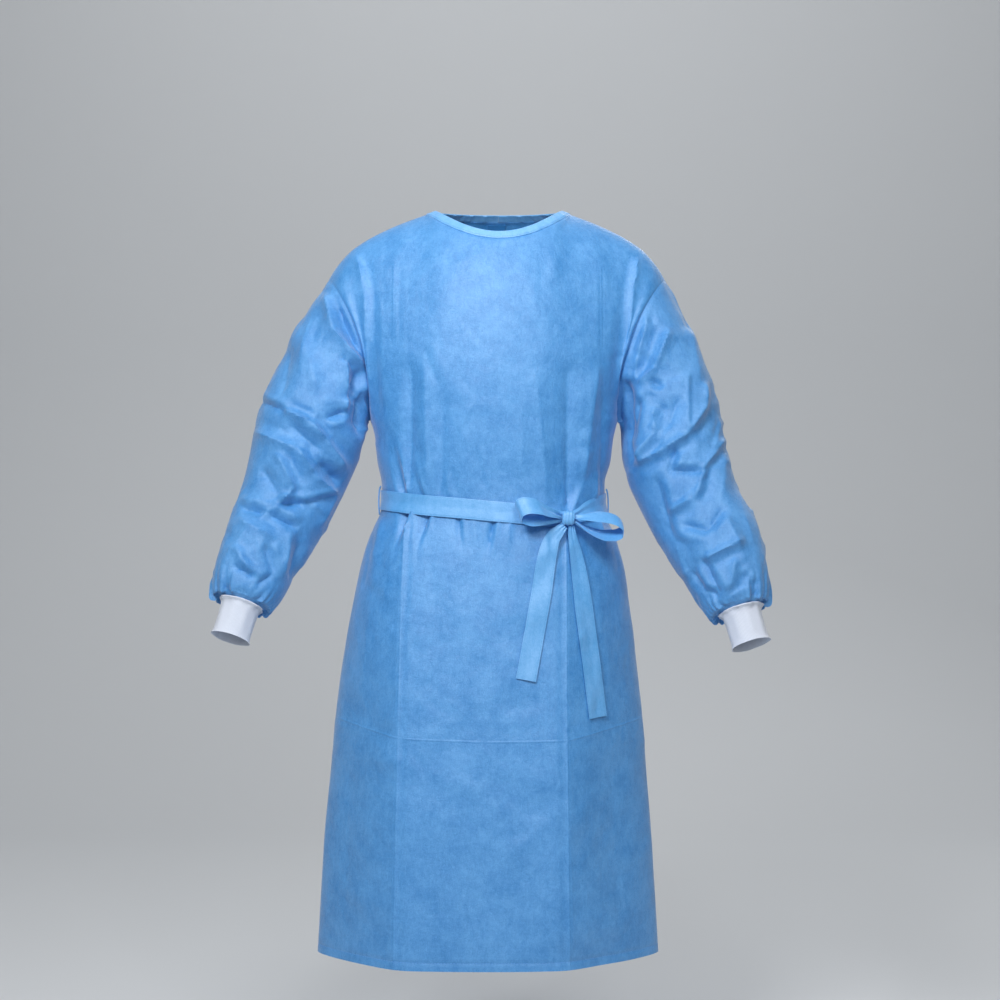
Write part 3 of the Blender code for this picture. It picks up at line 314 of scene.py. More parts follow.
def wall(name, outer, inner, stuff, wrap=False, uv=None):
    """Closed wall between two grids, its rims joined. wrap closes the columns round a tube. uv holds
    each grid point's place on the cloth, in metres."""
    rows, columns = outer.shape[:2]
    r, c = np.meshgrid(np.arange(rows - 1), np.arange(columns if wrap else columns - 1), indexing="ij")
    n = (c + 1) % columns
    a, b, e, d = (q.ravel() for q in (r * columns + c, r * columns + n, (r + 1) * columns + n, (r + 1) * columns + c))
    behind = rows * columns
    faces = [np.stack((a, b, e, d), 1), np.stack((d, e, b, a), 1) + behind]
    c = np.arange(columns if wrap else columns - 1)
    n = (c + 1) % columns
    last = (rows - 1) * columns
    faces.append(np.stack((n, c, behind + c, behind + n), 1))
    faces.append(np.stack((last + c, last + n, behind + last + n, behind + last + c), 1))
    if not wrap:
        a, d = np.arange(rows - 1) * columns, np.arange(1, rows) * columns
        b, e = a + columns - 1, d + columns - 1
        faces.append(np.stack((a, d, behind + d, behind + a), 1))
        faces.append(np.stack((e, b, behind + b, behind + e), 1))
    faces = np.concatenate(faces)
    points = np.concatenate((outer.reshape(-1, 3), inner.reshape(-1, 3)))
    volume = np.einsum("ij,ij->i", points[faces[:, 0]], np.cross(points[faces[:, 1]], points[faces[:, 2]])).sum()
    volume += np.einsum("ij,ij->i", points[faces[:, 0]], np.cross(points[faces[:, 2]], points[faces[:, 3]])).sum()
    if volume < 0:
        faces = faces[:, ::-1]
    mesh = bpy.data.meshes.new(name)
    mesh.from_pydata(points.tolist(), [], faces.tolist())
    mesh.shade_smooth()
    mesh.set_sharp_from_angle(angle=math.radians(50))
    mesh.materials.append(stuff)
    if uv is not None:
        layer = mesh.uv_layers.new(name="cloth")
        corner = np.empty(len(mesh.loops), np.int32)
        mesh.loops.foreach_get("vertex_index", corner)
        layer.data.foreach_set("uv", np.concatenate((uv.reshape(-1, 2),) * 2)[corner].ravel().astype(np.float32))
    piece = bpy.data.objects.new(name, mesh)
    bpy.context.scene.collection.objects.link(piece)
    return piece


def shown(piece, slot, *nodes):
    """Puts a piece in place of its solids, on the one body."""
    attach(piece, "root")
    if nodes:
        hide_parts(*nodes)
    return piece


class Nodes:
    """Short calls for a material's node tree."""

    def __init__(self, name):
        self.stuff = bpy.data.materials.new(name)
        self.stuff.use_nodes = True
        self.tree = self.stuff.node_tree
        self.shader = self.tree.nodes["Principled BSDF"]
        self.place = self.tree.nodes.new("ShaderNodeTexCoord")

    def add(self, kind, **values):
        """New node. A value that is a socket is linked, and any other value is set."""
        node = self.tree.nodes.new("ShaderNode" + kind)
        for name, value in values.items():
            key = int(name[1:]) if name[0] == "_" and name[1:].isdigit() else name.replace("_", " ")
            if isinstance(key, str) and hasattr(node, name) and key not in node.inputs:
                setattr(node, name, value)
            elif isinstance(value, bpy.types.NodeSocket):
                self.tree.links.new(value, node.inputs[key])
            else:
                node.inputs[key].default_value = value
        return node

    def noise(self, scale, detail, at=None, roughness=0.5, stretch=None, bend=0.0):
        """Noise over the piece's own coordinates, its factor from 0 to 1."""
        at = at or self.place.outputs["Object"]
        if stretch:
            at = self.add("Mapping", Vector=at, Scale=stretch).outputs[0]
        return self.add("TexNoise", Vector=at, Scale=scale, Detail=detail, Roughness=roughness, Distortion=bend).outputs[0]

    def sum(self, *terms):
        """Sum of sockets times weights."""
        total = None
        for socket, weight in terms:
            part = self.add("Math", operation="MULTIPLY", _0=socket, _1=weight).outputs[0]
            total = part if total is None else self.add("Math", operation="ADD", _0=total, _1=part).outputs[0]
        return total

    def line(self, x0, z0, x1, z1, width):
        """Straight line over the front or back: 1 on it, 0 a width away and past its ends."""
        split = self.add("SeparateXYZ", Vector=self.place.outputs["Object"])
        length = math.hypot(x1 - x0, z1 - z0)
        ways = (((z1 - z0) / length, -(x1 - x0) / length), ((x1 - x0) / length, (z1 - z0) / length))
        found = []
        for (way_x, way_z), middle, near, far in ((ways[0], 0.0, 0.0, width),
                                                  (ways[1], length / 2, length / 2 - 0.012, length / 2 + 0.004)):
            start = -(x0 * way_x + z0 * way_z) - middle
            along = self.add("Math", operation="MULTIPLY_ADD", _0=split.outputs[0], _1=way_x, _2=start).outputs[0]
            along = self.add("Math", operation="MULTIPLY_ADD", _0=split.outputs[2], _1=way_z, _2=along).outputs[0]
            along = self.add("Math", operation="ABSOLUTE", _0=along).outputs[0]
            found.append(self.add("MapRange", interpolation_type="SMOOTHSTEP", _0=along, _1=near, _2=far,
                                  _3=1.0, _4=0.0).outputs[0])
        return self.add("Math", operation="MULTIPLY", _0=found[0], _1=found[1]).outputs[0]

    def stitches(self, width):
        """Row of stitches 2 mm in from each edge of a strip, along its cloth coordinates."""
        split = self.add("SeparateXYZ", Vector=self.add("UVMap", uv_map="cloth").outputs[0])
        off = self.add("Math", operation="SUBTRACT", _0=split.outputs[1], _1=width / 2).outputs[0]
        off = self.add("Math", operation="ABSOLUTE", _0=off).outputs[0]
        off = self.add("Math", operation="SUBTRACT", _0=off, _1=width / 2 - 0.0022).outputs[0]
        off = self.add("Math", operation="ABSOLUTE", _0=off).outputs[0]
        near = self.add("MapRange", _0=off, _1=0.0002, _2=0.0006, _3=1.0, _4=0.0).outputs[0]
        wave = self.add("Math", operation="MULTIPLY", _0=split.outputs[0], _1=2 * math.pi / 0.0042).outputs[0]
        wave = self.add("Math", operation="SINE", _0=wave).outputs[0]
        on = self.add("MapRange", _0=wave, _1=-0.5, _2=0.1, _3=0.25, _4=1.0).outputs[0]
        return self.add("Math", operation="MULTIPLY", _0=near, _1=on).outputs[0]

    def mix(self, factor, low, high):
        """Colour from low to high by the factor."""
        ramp = self.add("ValToRGB", Fac=factor)
        ramp.color_ramp.elements[0].color, ramp.color_ramp.elements[1].color = (*low, 1), (*high, 1)
        ramp.color_ramp.elements[0].position, ramp.color_ramp.elements[1].position = 0.34, 0.66
        return ramp.outputs["Color"]

    def link(self, socket, name):
        """Joins a socket to the shader's input of that name."""
        self.tree.links.new(socket, self.shader.inputs[name])


PRESSED = ((-0.1665, -0.0915, -0.1665, -0.220, 0.5), (0.1582, -0.095, 0.1582, -0.228, 0.5),
           (-0.1480, -0.489, -0.1530, -0.655, 0.8), (-0.1530, -0.655, -0.1560, -0.825, 1.0),
           (-0.1560, -0.825, -0.1630, -1.176, 1.0), (0.1020, -0.520, 0.1020, -0.780, 0.9),
           (0.1020, -0.780, 0.1060, -1.176, 1.0), (-0.2600, -0.8050, -0.1520, -0.8260, 0.8),
           (-0.1520, -0.8260, -0.0240, -0.8300, 0.7), (-0.0240, -0.8300, 0.1010, -0.8290, 0.8),
           (0.1010, -0.8290, 0.2260, -0.8060, 0.8))
PRESSED_WIDTH = 0.0026


def nonwoven(name, low, high, bump=1.0, pressed=(), stitched_at=None):
    """Pressed fibre cloth: colour mottled by the fibres' clumps, a fine web of fibres and small
    crumples as bumps, a crisp line wherever it was pressed in a fold, matt with a faint sheen.
    stitched_at is the width of a strip that has a row of stitches near each edge."""
    m = Nodes(name)
    clumps, web = m.noise(26, 6, roughness=0.66), m.noise(260, 3, roughness=0.8, bend=2.2)
    fibres = m.noise(150, 5, roughness=0.85, stretch=(1.0, 1.0, 0.35), bend=0.6)
    cross = m.noise(190, 5, roughness=0.85, stretch=(0.4, 1.0, 1.0), bend=0.8)
    tone = m.sum((clumps, 0.55), (web, 0.60), (fibres, -0.50), (cross, 0.35))
    crumple = m.add("TexVoronoi", Vector=m.place.outputs["Object"], Scale=15.0, feature="DISTANCE_TO_EDGE")
    facets = m.add("TexVoronoi", Vector=m.place.outputs["Object"], Scale=31.0, feature="DISTANCE_TO_EDGE")
    soft = m.noise(9, 3, roughness=0.5)
    terms = [(soft, 0.8), (crumple.outputs["Distance"], 0.5), (facets.outputs["Distance"], 0.25),
             (clumps, 0.22), (web, 0.13), (fibres, 0.14), (cross, 0.10)]
    terms += [(m.line(*ends, PRESSED_WIDTH), 0.16 * strength) for *ends, strength in pressed]
    if stitched_at:
        thread = m.stitches(stitched_at)
        terms.append((thread, -0.05))
        tone = m.sum((tone, 1.0), (thread, -0.30))
    m.link(m.mix(tone, low, high), "Base Color")
    bumps = m.add("Bump", Height=m.sum(*terms), Strength=0.62 * bump, Distance=0.006)
    m.link(bumps.outputs[0], "Normal")
    m.shader.inputs["Roughness"].default_value = 0.56
    m.shader.inputs["Specular IOR Level"].default_value = 1.0
    m.shader.inputs["IOR"].default_value = 1.6
    m.shader.inputs["Sheen Weight"].default_value = 0.30
    m.shader.inputs["Sheen Roughness"].default_value = 0.40
    return m.stuff


BLUE = nonwoven("blue_nonwoven_shown", (0.000, 0.195, 0.540), (0.070, 0.325, 0.715), pressed=PRESSED)
# the sleeves' blue is the body's blue made slightly darker, as painted shade on the sleeves, with stronger bumps
SLEEVE_SHADED_BLUE = nonwoven("sleeve_blue_painted_shade", (0.000, 0.190, 0.535), (0.070, 0.320, 0.705), bump=1.35)

HEM_ROWS = HEM_HEIGHT + HEM_TURN + np.array((-HEM_TURN, -0.0065, -0.0010, 0.0, 0.0010))
HEIGHTS = np.concatenate((HEM_ROWS, np.arange(HEM_HEIGHT + HEM_TURN + LOW_STEP, SKIRT_TOP, LOW_STEP),
                          np.arange(SKIRT_TOP, CHEST_HEIGHT - WAIST_STEP / 2, WAIST_STEP)))
FINE_RISES = np.linspace(0, 1, 80)
SHOULDER_SPAN = np.linspace(0.0, NECK_SHARE, 48)
NECK_SPAN = np.linspace(NECK_SHARE, 1 - NECK_SHARE, 87)
ALL_COLUMNS = np.concatenate((SHOULDER_SPAN, NECK_SPAN[1:-1], 1 - SHOULDER_SPAN[::-1]))


def seam_groove(grid, across):
    """Depth of the pressed groove along a panel's sewn edges: sides, shoulders and armholes."""
    wide = np.linalg.norm(np.diff(grid, axis=1), axis=-1)
    from_left = np.concatenate((np.zeros((len(grid), 1)), np.cumsum(wide, axis=1)), axis=1)
    from_right = from_left[:, -1:] - from_left
    tall = np.linalg.norm(np.diff(grid, axis=0), axis=-1)
    from_top = np.concatenate((np.cumsum(tall[::-1], axis=0)[::-1], np.zeros((1, grid.shape[1]))))
    groove = np.exp(-(from_top / SEAM_REACH) ** 2)
    if across[0] == 0:
        groove = np.maximum(groove, np.exp(-(from_left / SEAM_REACH) ** 2))
    if across[-1] == 1:
        groove = np.maximum(groove, np.exp(-(from_right / SEAM_REACH) ** 2))
    near = np.minimum(from_top, np.minimum(from_left if across[0] == 0 else 1.0, from_right if across[-1] == 1 else 1.0))
    return -SEAM_GROOVE * groove, smooth(near / 0.014), (from_left, from_top)


def eased(grid, across):
    """Grid with the bend below each neck corner eased: near it, and away from the top edge, each point
    is drawn halfway to the mean of its neighbours, 60 times."""
    away = np.minimum(abs(across - NECK_SHARE), abs(across - 1 + NECK_SHARE))
    from_top = np.linalg.norm(grid - grid[-1:], axis=-1)
    weight = (0.5 * smooth((0.085 - away) / 0.06)[None, :] * smooth((from_top - 0.004) / 0.03))[:, 1:-1, None]
    for _ in range(60):
        between = (grid[:, :-2] + grid[:, 2:]) / 2
        grid[:, 1:-1] += weight * (between - grid[:, 1:-1])
    return grid


def panel(name, face, across, rows, small, layer=None):
    """One piece of the body with its creases: the form's points moved along its normals."""
    grid = eased(body_grid(face, across, HEIGHTS, FINE_RISES), across)
    way = normals(grid) * (1 if face == FRONT else -1)
    right, down = seen(grid, from_back=face == BACK)
    groove, clear, (from_left, from_top) = seam_groove(grid, across)
    height = (creases(rows, right, down) + creases(small, right, down)) * clear + groove
    height = height - HEM_GROOVE * np.exp(-((grid[..., 2] - HEM_HEIGHT - HEM_TURN) / 0.0009) ** 2)
    if layer is not None:
        height = height + layer(across)[None, :]
    grid = grid + way * height[..., None]
    way = normals(grid) * (1 if face == FRONT else -1)
    piece = wall(name, grid, grid - way * CLOTH, BLUE, uv=np.stack((from_left, from_top), axis=-1))
    return piece, grid, way


FRONT_GATHERS = table(CREASE_COLUMNS + " taper", (
    (410, 366, 409, 492, -4.6, 13, 0.0, 0.30),
    (444, 390, 440, 500, -2.6, 15, 0.2, 0.45),
    (424, 366, 428, 492, 1.6, 7, 0.3, 0.70),
    (569, 368, 569, 512, -4.6, 15, 0.0, 0.28),
    (536, 372, 548, 505, 1.4, 9, 0.3, 0.60),
    (604, 400, 600, 496, -3.0, 8, 0.0, 0.60),
    (571, 512, 583, 480, 2.8, 3.2, 0.4, 1.30),
    (409, 495, 397, 440, 3.0, 3.0, 0.5, 1.80),
    (403, 494, 392, 452, -2.6, 3.0, 0.0, 1.80),
    (427, 498, 417, 466, 2.0, 2.8, 0.4, 1.80),
    (408, 508, 394, 550, -5.6, 2.8, 0.0, 2.00),
    (415, 510, 410, 566, 1.8, 3.6, 0.3, 2.00),
    (429, 511, 418, 544, -4.0, 2.6, 0.0, 2.00),
    (458, 515, 461, 546, -3.2, 2.6, 0.0, 2.00),
    (474, 517, 478, 560, 1.2, 4.0, 0.3, 2.00),
    (494, 519, 487, 556, -4.0, 2.8, 0.0, 2.00),
    (510, 521, 506, 560, 1.2, 4.0, 0.3, 2.00),
    (545, 526, 548, 566, 1.2, 3.5, 0.0, 1.80),
))
FRONT_CREASES = {name: np.append(FRONT_CREASES[name], FRONT_GATHERS[name]) for name in FRONT_CREASES} | {
    "taper": np.append(np.full(len(FRONT_CREASES["skew"]), 1.0), FRONT_GATHERS["taper"])}
FRONT_SMALL = crumples(3, 90, (330, 240), (650, 960), 34, 0.9, 4.5)
FRONT_BROAD = crumples(31, 46, (330, 500), (650, 960), 90, 1.5, 15.0)
FRONT_SMALL = {name: np.concatenate((FRONT_SMALL[name], FRONT_BROAD[name])) for name in FRONT_SMALL}
front, front_grid, front_way = panel("front_shown", FRONT, ALL_COLUMNS, FRONT_CREASES, FRONT_SMALL)
shown(front, "blue_nonwoven", "upper_front", "lower_front")


# ---- Back halves
# Two cut pieces of the same cloth. The outer half, on the left as seen from the front, lies over the
# other at the middle of the back. Both are sewn to the front at the sides and shoulders.

BACK_LAYER = 0.0028
NECK_STEP = (1 - 2 * NECK_SHARE) / 12
BACK_OVERLAP = 2 * NECK_STEP
BACK_CREASES = table(CREASE_COLUMNS, (
    (404, 250, 402, 470, 0.9, 1.8, 0.0),
    (590, 250, 592, 470, 0.9, 1.8, 0.0),
    (420, 330, 428, 470, -4.5, 11, 0.0),
    (556, 325, 548, 475, -5.0, 12, 0.0),
    (480, 380, 476, 470, 2.4, 9, 0.0),
    (515, 400, 520, 480, -2.5, 8, 0.0),
    (398, 455, 410, 486, 3.0, 3.5, 0.2),
    (585, 450, 572, 486, 3.2, 4.0, 0.2),
    (448, 462, 452, 488, -2.2, 3.5, 0.0),
    (360, 262, 367, 330, 3.6, 4.5, 0.5),
    (634, 262, 627, 330, 3.6, 4.5, -0.5),
    (368, 330, 374, 430, 2.6, 4.5, 0.5),
    (627, 330, 614, 430, 2.6, 4.5, -0.5),
    (402, 512, 396, 740, 3.0, 3.0, 0.0),
    (396, 740, 394, 972, 2.4, 2.4, 0.0),
    (566, 512, 568, 740, 3.0, 3.0, 0.0),
    (568, 740, 569, 972, 2.4, 2.4, 0.0),
    (332, 722, 402, 736, 1.3, 1.8, 0.0),
    (402, 736, 566, 737, 1.1, 1.6, 0.0),
    (566, 737, 644, 723, 1.3, 1.8, 0.0),
    (430, 510, 426, 545, -3.0, 4.0, 0.0),
    (446, 510, 448, 560, 2.4, 5.0, 0.0),
    (468, 512, 463, 548, -2.6, 4.0, 0.0),
    (522, 512, 526, 560, -2.4, 4.5, 0.0),
    (592, 512, 600, 556, 2.6, 5.0, 0.0),
    (450, 600, 455, 720, -1.8, 16, 0.0),
    (530, 620, 540, 900, 1.6, 20, 0.0),
    (440, 790, 430, 940, -1.6, 18, 0.0),
))
BACK_SMALL = crumples(11, 90, (330, 240), (650, 960), 34, 0.9, 4.5)
BACK_BROAD = crumples(37, 46, (330, 500), (650, 960), 90, 1.5, 15.0)
BACK_SMALL = {name: np.concatenate((BACK_SMALL[name], BACK_BROAD[name])) for name in BACK_SMALL}


def back_layer(across):
    """How far the outer half stands off the other: nothing at the side, BACK_LAYER at the middle."""
    return BACK_LAYER * smooth((across - 0.5 + BACK_OVERLAP + 0.14) / 0.12)


within = ALL_COLUMNS <= 0.5 + BACK_OVERLAP + 1e-9
piece, _, _ = panel("back_left_shown", BACK, ALL_COLUMNS[within], BACK_CREASES, BACK_SMALL, back_layer)
shown(piece, "blue_nonwoven", "back_left")
within = ALL_COLUMNS >= 0.5 - BACK_OVERLAP - 1e-9
piece, back_right_grid, back_right_way = panel("back_right_shown", BACK, ALL_COLUMNS[within], BACK_CREASES, BACK_SMALL)
shown(piece, "blue_nonwoven", "back_right")


# ---- Sleeves
# One cut piece each, rolled into a tube, sewn into the armhole and gathered by its knit cuff, over
# which the last of it puffs.

UNDERARM_ROOM = 0.0005
SLEEVE_DEPTH = 1.25
SLEEVE_STEP = 0.0034
GATHERS = 20
SLEEVE_COLUMNS_NAMED = "x y z half_width half_depth lean forward gather"
SLEEVES = {
    -1: table(SLEEVE_COLUMNS_NAMED, (
        (-0.2940, -0.002, -0.3270, 0.0890, 0.084, 16.0, 4, 0.0),
        (-0.3366, -0.030, -0.4621, 0.0752, 0.072, 23.6, 14, 0.0),
        (-0.3744, -0.075, -0.5501, 0.0625, 0.060, 22.3, 22, 0.0),
        (-0.3966, -0.102, -0.6110, 0.0510, 0.048, 18.6, 24, 0.6),
        (-0.3990, -0.108, -0.6220, 0.0440, 0.041, 13.0, 30, 1.0),
        (-0.3988, -0.108, -0.6178, 0.0385, 0.038, 15.6, 22, 0.6),
        (-0.3992, -0.108, -0.6222, 0.0316, 0.0316, 15.6, 20, 0.0),
    )),
    1: table(SLEEVE_COLUMNS_NAMED, (
        (0.2705, -0.002, -0.3290, 0.0825, 0.082, 16.5, 4, 0.0),
        (0.2743, -0.012, -0.3755, 0.0828, 0.080, 10.4, 8, 0.0),
        (0.3044, -0.035, -0.4694, 0.0767, 0.072, 23.0, 15, 0.0),
        (0.3433, -0.078, -0.5483, 0.0694, 0.063, 24.8, 22, 0.0),
        (0.3665, -0.102, -0.6180, 0.0529, 0.049, 18.0, 24, 0.6),
        (0.3695, -0.108, -0.6325, 0.0440, 0.041, 14.0, 30, 1.0),
        (0.3706, -0.108, -0.6274, 0.0385, 0.038, 14.7, 22, 0.6),
        (0.3714, -0.108, -0.6317, 0.0316, 0.0316, 14.7, 20, 0.0),
    )),
}
SLEEVE_CREASES = {
    -1: table(CREASE_COLUMNS, (
        (328, 296, 333, 330, 5.5, 6, 0.3),
        (333, 330, 364, 367, 6.0, 6, 0.3),
        (338, 308, 360, 350, -4.0, 5, 0.0),
        (341, 357, 354, 369, -3.0, 4, 0.0),
        (346, 358, 349, 398, 4.5, 5, 0.2),
        (360, 372, 350, 400, -6.5, 7, 0.0),
        (364, 394, 361, 436, -9.0, 9, 0.0),
        (346, 266, 342, 292, 2.0, 3.5, 0.0),
        (348, 292, 358, 322, -2.6, 4, 0.0),
        (312, 300, 290, 350, 2.4, 9, 0.0),
        (305, 340, 318, 392, 3.0, 9, 0.2),
        (290, 350, 280, 400, -2.2, 8, 0.0),
        (287, 411, 312, 422, 4.5, 4.5, 0.3),
        (312, 422, 326, 440, 4.5, 4.5, 0.3),
        (326, 440, 346, 468, 4.5, 5, 0.3),
        (348, 398, 345, 412, 3.5, 4, 0.0),
        (345, 412, 325, 419, -4.0, 4.5, 0.0),
        (290, 425, 322, 452, -4.0, 6, 0.0),
        (322, 464, 342, 484, -5.0, 6, 0.0),
        (262, 402, 285, 411, -3.2, 4, 0.0),
        (258, 432, 300, 450, 3.6, 6, 0.2),
        (279, 455, 294, 488, 4.5, 5, 0.3),
        (294, 488, 279, 504, 4.0, 4.5, 0.2),
        (300, 450, 315, 475, 4.2, 5, 0.3),
        (315, 475, 338, 495, 4.2, 5, 0.3),
        (262, 470, 280, 496, -3.4, 7, 0.0),
        (241, 507, 268, 512, -4.0, 5, 0.0),
        (268, 512, 298, 528, -4.0, 5, 0.2),
        (280, 504, 307, 504, -4.0, 4, 0.0),
        (307, 504, 336, 496, -3.6, 4, 0.0),
        (240, 520, 275, 538, 3.4, 6, 0.2),
        (266, 547, 275, 575, -3.2, 5, 0.0),
        (290, 530, 282, 580, 3.0, 6, 0.0),
        (257, 585, 275, 574, -2.6, 4, 0.0),
        (234, 566, 258, 579, -2.8, 4, 0.0),
        (236, 548, 250, 572, 2.6, 5, 0.0),
        (300, 545, 290, 580, -2.4, 5, 0.0),
        (336, 497, 320, 526, 2.4, 4, 0.0),
    )),
    1: table(CREASE_COLUMNS, (
        (645, 316, 646, 326, 3.0, 4, 0.0),
        (646, 326, 638, 356, 4.0, 5, -0.2),
        (638, 356, 635, 380, 3.0, 4.5, 0.0),
        (668, 330, 655, 368, 5.0, 6, -0.3),
        (655, 368, 638, 383, 5.0, 5.5, -0.3),
        (662, 387, 650, 380, -3.4, 4.5, 0.0),
        (625, 384, 624, 436, -9.0, 9, 0.0),
        (624, 430, 630, 470, -6.0, 8, 0.0),
        (655, 408, 655, 434, 4.5, 5, 0.2),
        (655, 434, 636, 459, 4.5, 5, 0.2),
        (690, 330, 700, 385, 2.6, 9, 0.0),
        (704, 384, 706, 404, 4.0, 5, 0.0),
        (706, 404, 687, 434, 4.8, 5.5, 0.2),
        (687, 434, 662, 450, 4.8, 5.5, 0.2),
        (662, 450, 637, 463, 4.0, 5, 0.2),
        (678, 400, 668, 428, -4.0, 7, 0.0),
        (640, 400, 634, 440, -4.0, 6, 0.0),
        (688, 376, 687, 432, 1.2, 2.5, 0.0),
        (676, 449, 669, 471, -3.6, 4.5, 0.0),
        (669, 471, 703, 471, -3.6, 4.5, 0.0),
        (703, 471, 695, 501, 3.8, 5, 0.0),
        (722, 440, 716, 450, 3.4, 4.5, 0.0),
        (716, 450, 700, 471, 3.8, 4.5, 0.0),
        (724, 455, 722, 500, 2.4, 8, 0.0),
        (722, 509, 708, 530, -4.0, 5.5, 0.0),
        (708, 530, 680, 524, -4.0, 5.5, 0.0),
        (690, 500, 668, 512, 3.4, 5, 0.0),
        (656, 480, 672, 540, -2.6, 6, 0.0),
        (742, 540, 702, 560, 4.0, 5.5, 0.2),
        (702, 560, 722, 597, -3.6, 5, 0.0),
        (728, 520, 745, 560, 2.4, 7, 0.0),
        (746, 573, 747, 582, -3.0, 4, 0.0),
        (747, 582, 722, 601, -3.0, 4, 0.0),
        (690, 573, 704, 592, -3.8, 5, 0.0),
        (704, 592, 721, 597, -3.8, 5, 0.0),
        (758, 584, 749, 597, -4.0, 4.5, 0.0),
        (735, 560, 730, 590, 2.6, 5, 0.0),
        (676, 545, 690, 580, 2.4, 5, 0.0),
    )),
}


def armhole(side, turn):
    """The panels' edge round the arm: turn 0 at the shoulder, 180 under the arm, front first. Under
    the arm it is moved out from the body by a seam's room."""
    turn = np.asarray(turn, float) % 360
    rise = 1 - np.where(turn <= 180, turn, 360 - turn) / 180
    across = np.full(rise.shape, 0.0 if side < 0 else 1.0)
    edge = np.where((turn <= 180)[..., None], to_ridge(FRONT, across, rise), to_ridge(BACK, across, rise))
    return edge + np.array((side, 0.0, 0.0)) * UNDERARM_ROOM * smooth((0.75 - rise) / 0.25)[..., None]


def tucked(side, turn):
    """Sleeve's own edge, turned under the panels': 3 mm in along the panel and 1.8 mm below it."""
    edge = armhole(side, turn)
    rise = 1 - np.where(turn <= 180, turn, 360 - turn) / 180
    across = np.full(rise.shape, 0.02 if side < 0 else 0.98)
    within = np.where((turn <= 180)[:, None], to_ridge(FRONT, across, rise), to_ridge(BACK, across, rise))
    down = (1 - smooth(rise / 0.12))[:, None] * np.array((0.0, 0.0, -1.0))
    inside = unit(edge.mean(axis=0) - edge + np.array((-side * 0.05, 0.0, 0.0)))
    return edge + unit(unit(within - edge) * smooth(rise / 0.06 + 0.1)[:, None] + down) * 0.003 + inside * 0.0018


def ring(row, side, turn):
    """Sleeve section, square to the arm: middle + outward half_width cos(turn) + ahead half_depth
    sin(turn), turn 0 outside, 90 in front, 180 inside."""
    lean, forward = math.radians(row["lean"]), math.radians(row["forward"])
    outward = np.array((side * math.cos(lean), 0.0, math.sin(lean)))
    ahead = np.array((0.0, -math.cos(forward), math.sin(forward)))
    angle = np.radians(turn)[:, None]
    return (np.array((row["x"], row["y"], row["z"])) + outward * row["half_width"] * np.cos(angle)
            + ahead * row["half_depth"] * np.sin(angle))


def sleeve_form(side, turn, down):
    """Sleeve surface: smooth lengthwise curves through the armhole and each section, and how strongly
    the cloth is gathered there."""
    rows = SLEEVES[side]
    keys = [armhole(side, turn)] + [ring({n: rows[n][i] for n in rows}, side, turn) for i in range(len(rows["x"]))]
    keys = np.array(keys)
    middles = keys.mean(axis=1)
    radius = np.linalg.norm(keys - middles[:, None], axis=-1).mean(axis=1)
    knots = np.concatenate(((0,), np.cumsum(np.hypot(np.linalg.norm(np.diff(middles, axis=0), axis=1), np.diff(radius)))))
    knots /= knots[-1]
    return through(knots, keys, down), through(knots, np.concatenate(((0,), rows["gather"])), down), knots


def gathers(turn, gather, down, wrist):
    """Puckers round the wrist in metres: a wave of GATHERS crests, uneven from one to the next, that
    grows with the gather and runs a little way up the arm."""
    angle = np.radians(turn)[None, :]
    uneven = 1 + 0.5 * np.sin(2 * angle + 0.7) + 0.4 * np.sin(5 * angle + 2.1)
    wave = (np.cos(13 * angle + 1.8 * np.sin(2 * angle)) + 0.8 * np.cos(GATHERS * angle + 2.2 * np.sin(3 * angle))
            + 0.45 * np.cos(33 * angle + 0.4))
    reach = 0.0015 * gather[:, None] ** 1.6 + 0.0004 * smooth((down - wrist + 0.05) / 0.05)[:, None]
    return reach * uneven * wave * smooth((1.0 - down) / 0.016)[:, None]


for side, word in ((-1, "left"), (1, "right")):
    turn = np.linspace(0, 360, 184, endpoint=False)
    _, _, knots = sleeve_form(side, turn, np.array((0.0, 1.0)))
    wrist = knots[-4]
    down = np.concatenate((np.linspace(0, wrist, 176)[:-1], np.linspace(wrist, 1.0, 36)))
    grid, gather, _ = sleeve_form(side, turn, down)
    way = normals(grid, wrap=True) * side
    length = np.concatenate(([0], np.cumsum(np.linalg.norm(np.diff(grid, axis=0), axis=-1).mean(axis=1))))
    clear = (smooth(length / 0.016) * smooth((wrist - down) / 0.05 + 0.4))[:, None]
    right, below = seen(grid)
    facing = smooth((-way[..., 1] + 0.30) / 0.50)
    height = SLEEVE_DEPTH * creases(SLEEVE_CREASES[side], right, below) * facing
    # the far side has the other sleeve's creases, mirrored
    right, below = seen(grid, from_back=True)
    behind = smooth((way[..., 1] + 0.30) / 0.50)
    height = height + creases(SLEEVE_CREASES[-side], 990 - right, below + 14) * behind
    round_ = turn[None, :] / 360 * 300 + 0 * below
    small = crumples(20 + side, 130, (0, 0), (300, 360), 34, 1.3, 4.5)
    height = height + creases(small, round_, length[:, None] / STEP + 0 * round_)
    height = height * clear - SEAM_GROOVE * np.exp(-(length / SEAM_REACH) ** 2)[:, None]
    grid = grid + way * (height + gathers(turn, gather, down, wrist))[..., None]
    grid = np.concatenate((tucked(side, turn)[None], grid))
    length = np.concatenate(([-0.003], length))
    way = normals(grid, wrap=True) * side
    place = np.stack(np.broadcast_arrays(turn[None, :] / 360 * 0.52, length[:, None]), axis=-1)
    piece = wall("sleeve_" + word + "_shown", grid, grid - way * CLOTH, SLEEVE_SHADED_BLUE, wrap=True, uv=place)
    shown(piece, "blue_nonwoven", "upper_sleeve_" + word, "lower_sleeve_" + word)


# ---- Cuffs
# White knit tubes, each sewn into the end of its sleeve. The seam leaves a flared, overlocked rim and
# the open end stands out a little, uneven as knit is.

